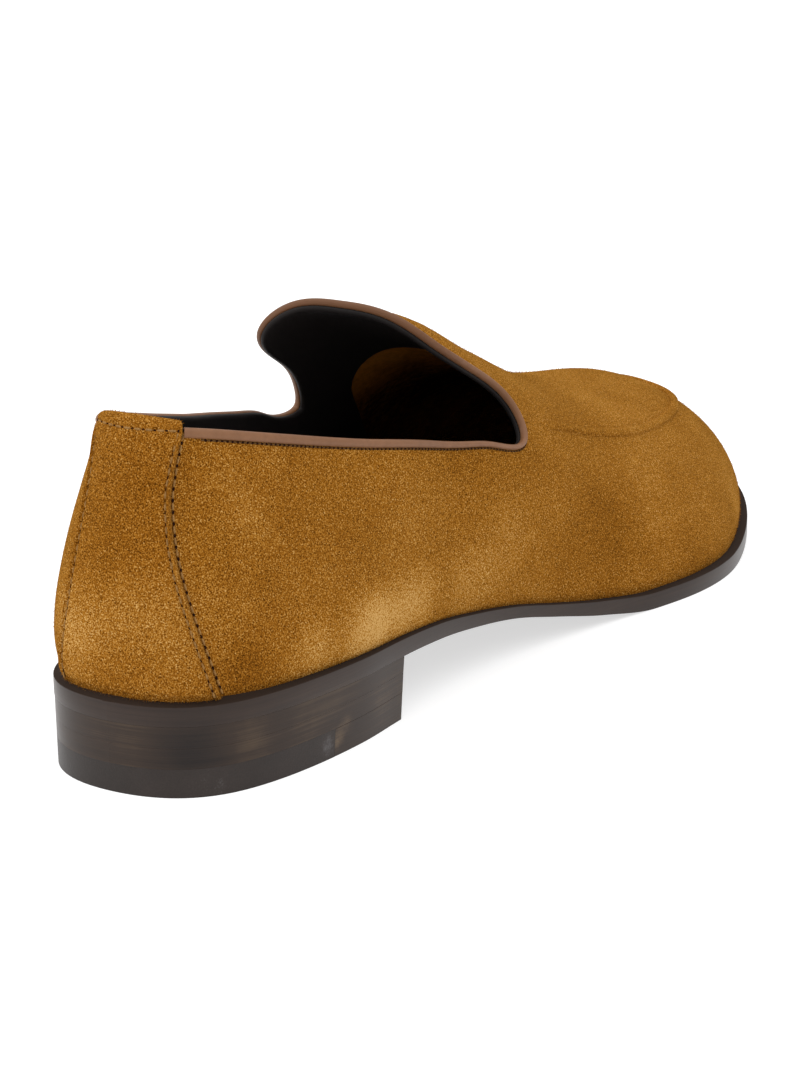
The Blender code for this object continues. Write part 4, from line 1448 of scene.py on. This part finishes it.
def counter_line(sign, inset):
    """Line up beside one of the counter's raw edges: on the counter, or on the quarter if outside it."""
    shares = np.linspace(COUNTER_STITCH_START, 1, STITCH_LINE_STEPS)
    section = counter_edge(shares, sign) - inset / SECTION_ARC
    flat = wall_flat(section, np.full(len(shares), sign), shares[:, None])[:, 0]
    normals = last_normal(flat)
    height = COUNTER_GAP + COUNTER_THICKNESS - COUNTER_GROOVE + SEAT_GAP if inset > 0 else COUNTER_GAP
    return last_point(flat) + normals * height, normals


def fold_line():
    """Line across the counter just under its folded top edge."""
    places = np.linspace(FOLD_STITCH_REACH, -FOLD_STITCH_REACH, STITCH_LINE_STEPS)
    sign = np.where(places >= 0, 1, -1)
    section = np.abs(places) * counter_edge(1.0, sign)
    points, normals, _ = collar_frame(collar_position(section, sign))
    return points + normals * (COUNTER_GAP + COUNTER_THICKNESS - FOLD_GROOVE), normals


def binding_line():
    """Line on the suede just under the binding."""
    positions = binding_positions()[BINDING_STITCH_TRIM:-BINDING_STITCH_TRIM]
    points, normals, past = collar_frame(positions)
    drop = binding_leg(positions) + BINDING_STITCH_DROP
    return points - past * drop[:, None] + normals * SEAT_GAP, normals


def dress_shoe():
    """Every piece of the shoe."""
    add_piece("upper_suede", upper_skin(), SUEDE, ("upper",))
    add_piece("collar_lining", lining_sheet(), LINING_LEATHER)
    add_piece("vamp_flesh_side", raw_inside(), RAW_SUEDE_PAINTED_LIGHT_AND_SHADE)
    add_piece("counter_suede", sheet(*counter_grid()), SUEDE, ("heel_counter",))
    add_piece("nap_fibres", nap_fibres(), SUEDE)
    add_piece("binding_strip", binding_strip(), BINDING_LEATHER, ("topline_binding",))
    add_piece("apron_ridge", apron_ridge(), SUEDE, ("apron_seam",))
    add_piece("insole_sock", insole_mesh(), LINING_LEATHER, ("insole",))
    add_piece("sole_leather", sole_mesh(), SOLE_LEATHER, ("outsole",))
    lift_bottom = level(TOP_PIECE_HEIGHT + LAYER_GAP)
    stack_bottom = level(LOWER_LIFT_TOP + LAYER_GAP)
    floor = level(0.0)
    top_piece = level(TOP_PIECE_HEIGHT)
    add_heel_layer("lift_upper", heel_back, breast, stack_bottom, above(underside, -LAYER_GAP),
                   HEEL_LEATHER, ("heel_lift_upper",))
    add_heel_layer("lift_lower", heel_back, breast, lift_bottom, level(LOWER_LIFT_TOP),
                   HEEL_LEATHER, ("heel_lift_lower",))
    add_heel_layer("top_piece_rubber", heel_back, rubber_front, floor, top_piece,
                   RUBBER, ("heel_top_rubber",))
    add_heel_layer("top_piece_leather", leather_back, breast, floor, top_piece,
                   HEEL_LEATHER, ("heel_top_leather",))
    rows = [
        StitchRow(*counter_line(sign, inset), COUNTER_STITCH_PITCH, COUNTER_STITCH_WIDTH, hole)
        for sign in SIDES.values()
        for inset, hole in COUNTER_STITCH_ROWS
    ]
    rows.append(StitchRow(*fold_line(), FOLD_STITCH_PITCH, COUNTER_STITCH_WIDTH, COUNTER_STITCH_ROWS[1][1]))
    add_stitches("counter_stitch", rows, THREAD)
    row = StitchRow(*binding_line(), BINDING_STITCH_PITCH, BINDING_STITCH_WIDTH, BINDING_STITCH_HOLE)
    add_stitches("binding_stitch", [row], DARK_THREAD)


def look_from(item, spot, aim):
    """Put a camera or light at a spot and turn it to an aim, both in millimetres."""
    item.location = place(spot)
    item.rotation_euler = Vector(place(aim) - place(spot)).to_track_quat("-Z", "Y").to_euler()


def add_camera():
    """The photo's camera, turned to the whole shoe."""
    camera = bpy.data.objects.new("camera", bpy.data.cameras.new("camera"))
    camera.data.lens = CAMERA_LENS
    camera.data.sensor_width = SENSOR
    camera.data.clip_start = CAMERA_NEAR
    look_from(camera, CAMERA_PLACE, CAMERA_AIM)
    camera.rotation_euler.rotate_axis("Z", np.radians(CAMERA_ROLL))
    bpy.context.scene.collection.objects.link(camera)
    bpy.context.scene.camera = camera


def add_sun(sun):
    """A broad soft light from the direction of a spot."""
    data = bpy.data.lights.new(sun.name, "SUN")
    data.energy = sun.strength
    data.angle = np.radians(sun.spread)
    light = bpy.data.objects.new(sun.name, data)
    look_from(light, sun.spot, (0.0, 0.0, 0.0))
    bpy.context.scene.collection.objects.link(light)


def add_stage():
    """White floor and soft studio light."""
    bpy.ops.mesh.primitive_plane_add(size=FLOOR_SIZE)
    floor = bpy.context.object
    floor.name = "floor"
    floor.data.materials.append(Shading("floor_white", FLOOR_SURFACE).material)
    world = bpy.data.worlds.new("studio")
    bpy.context.scene.world = world
    world.use_nodes = True
    backdrop = world.node_tree.nodes["Background"]
    backdrop.inputs["Color"].default_value = WHITE
    backdrop.inputs["Strength"].default_value = BACKDROP_STRENGTH
    for sun in SUNS:
        add_sun(sun)
    bpy.context.scene.view_settings.view_transform = "Standard"


dress_shoe()
add_camera()
add_stage()
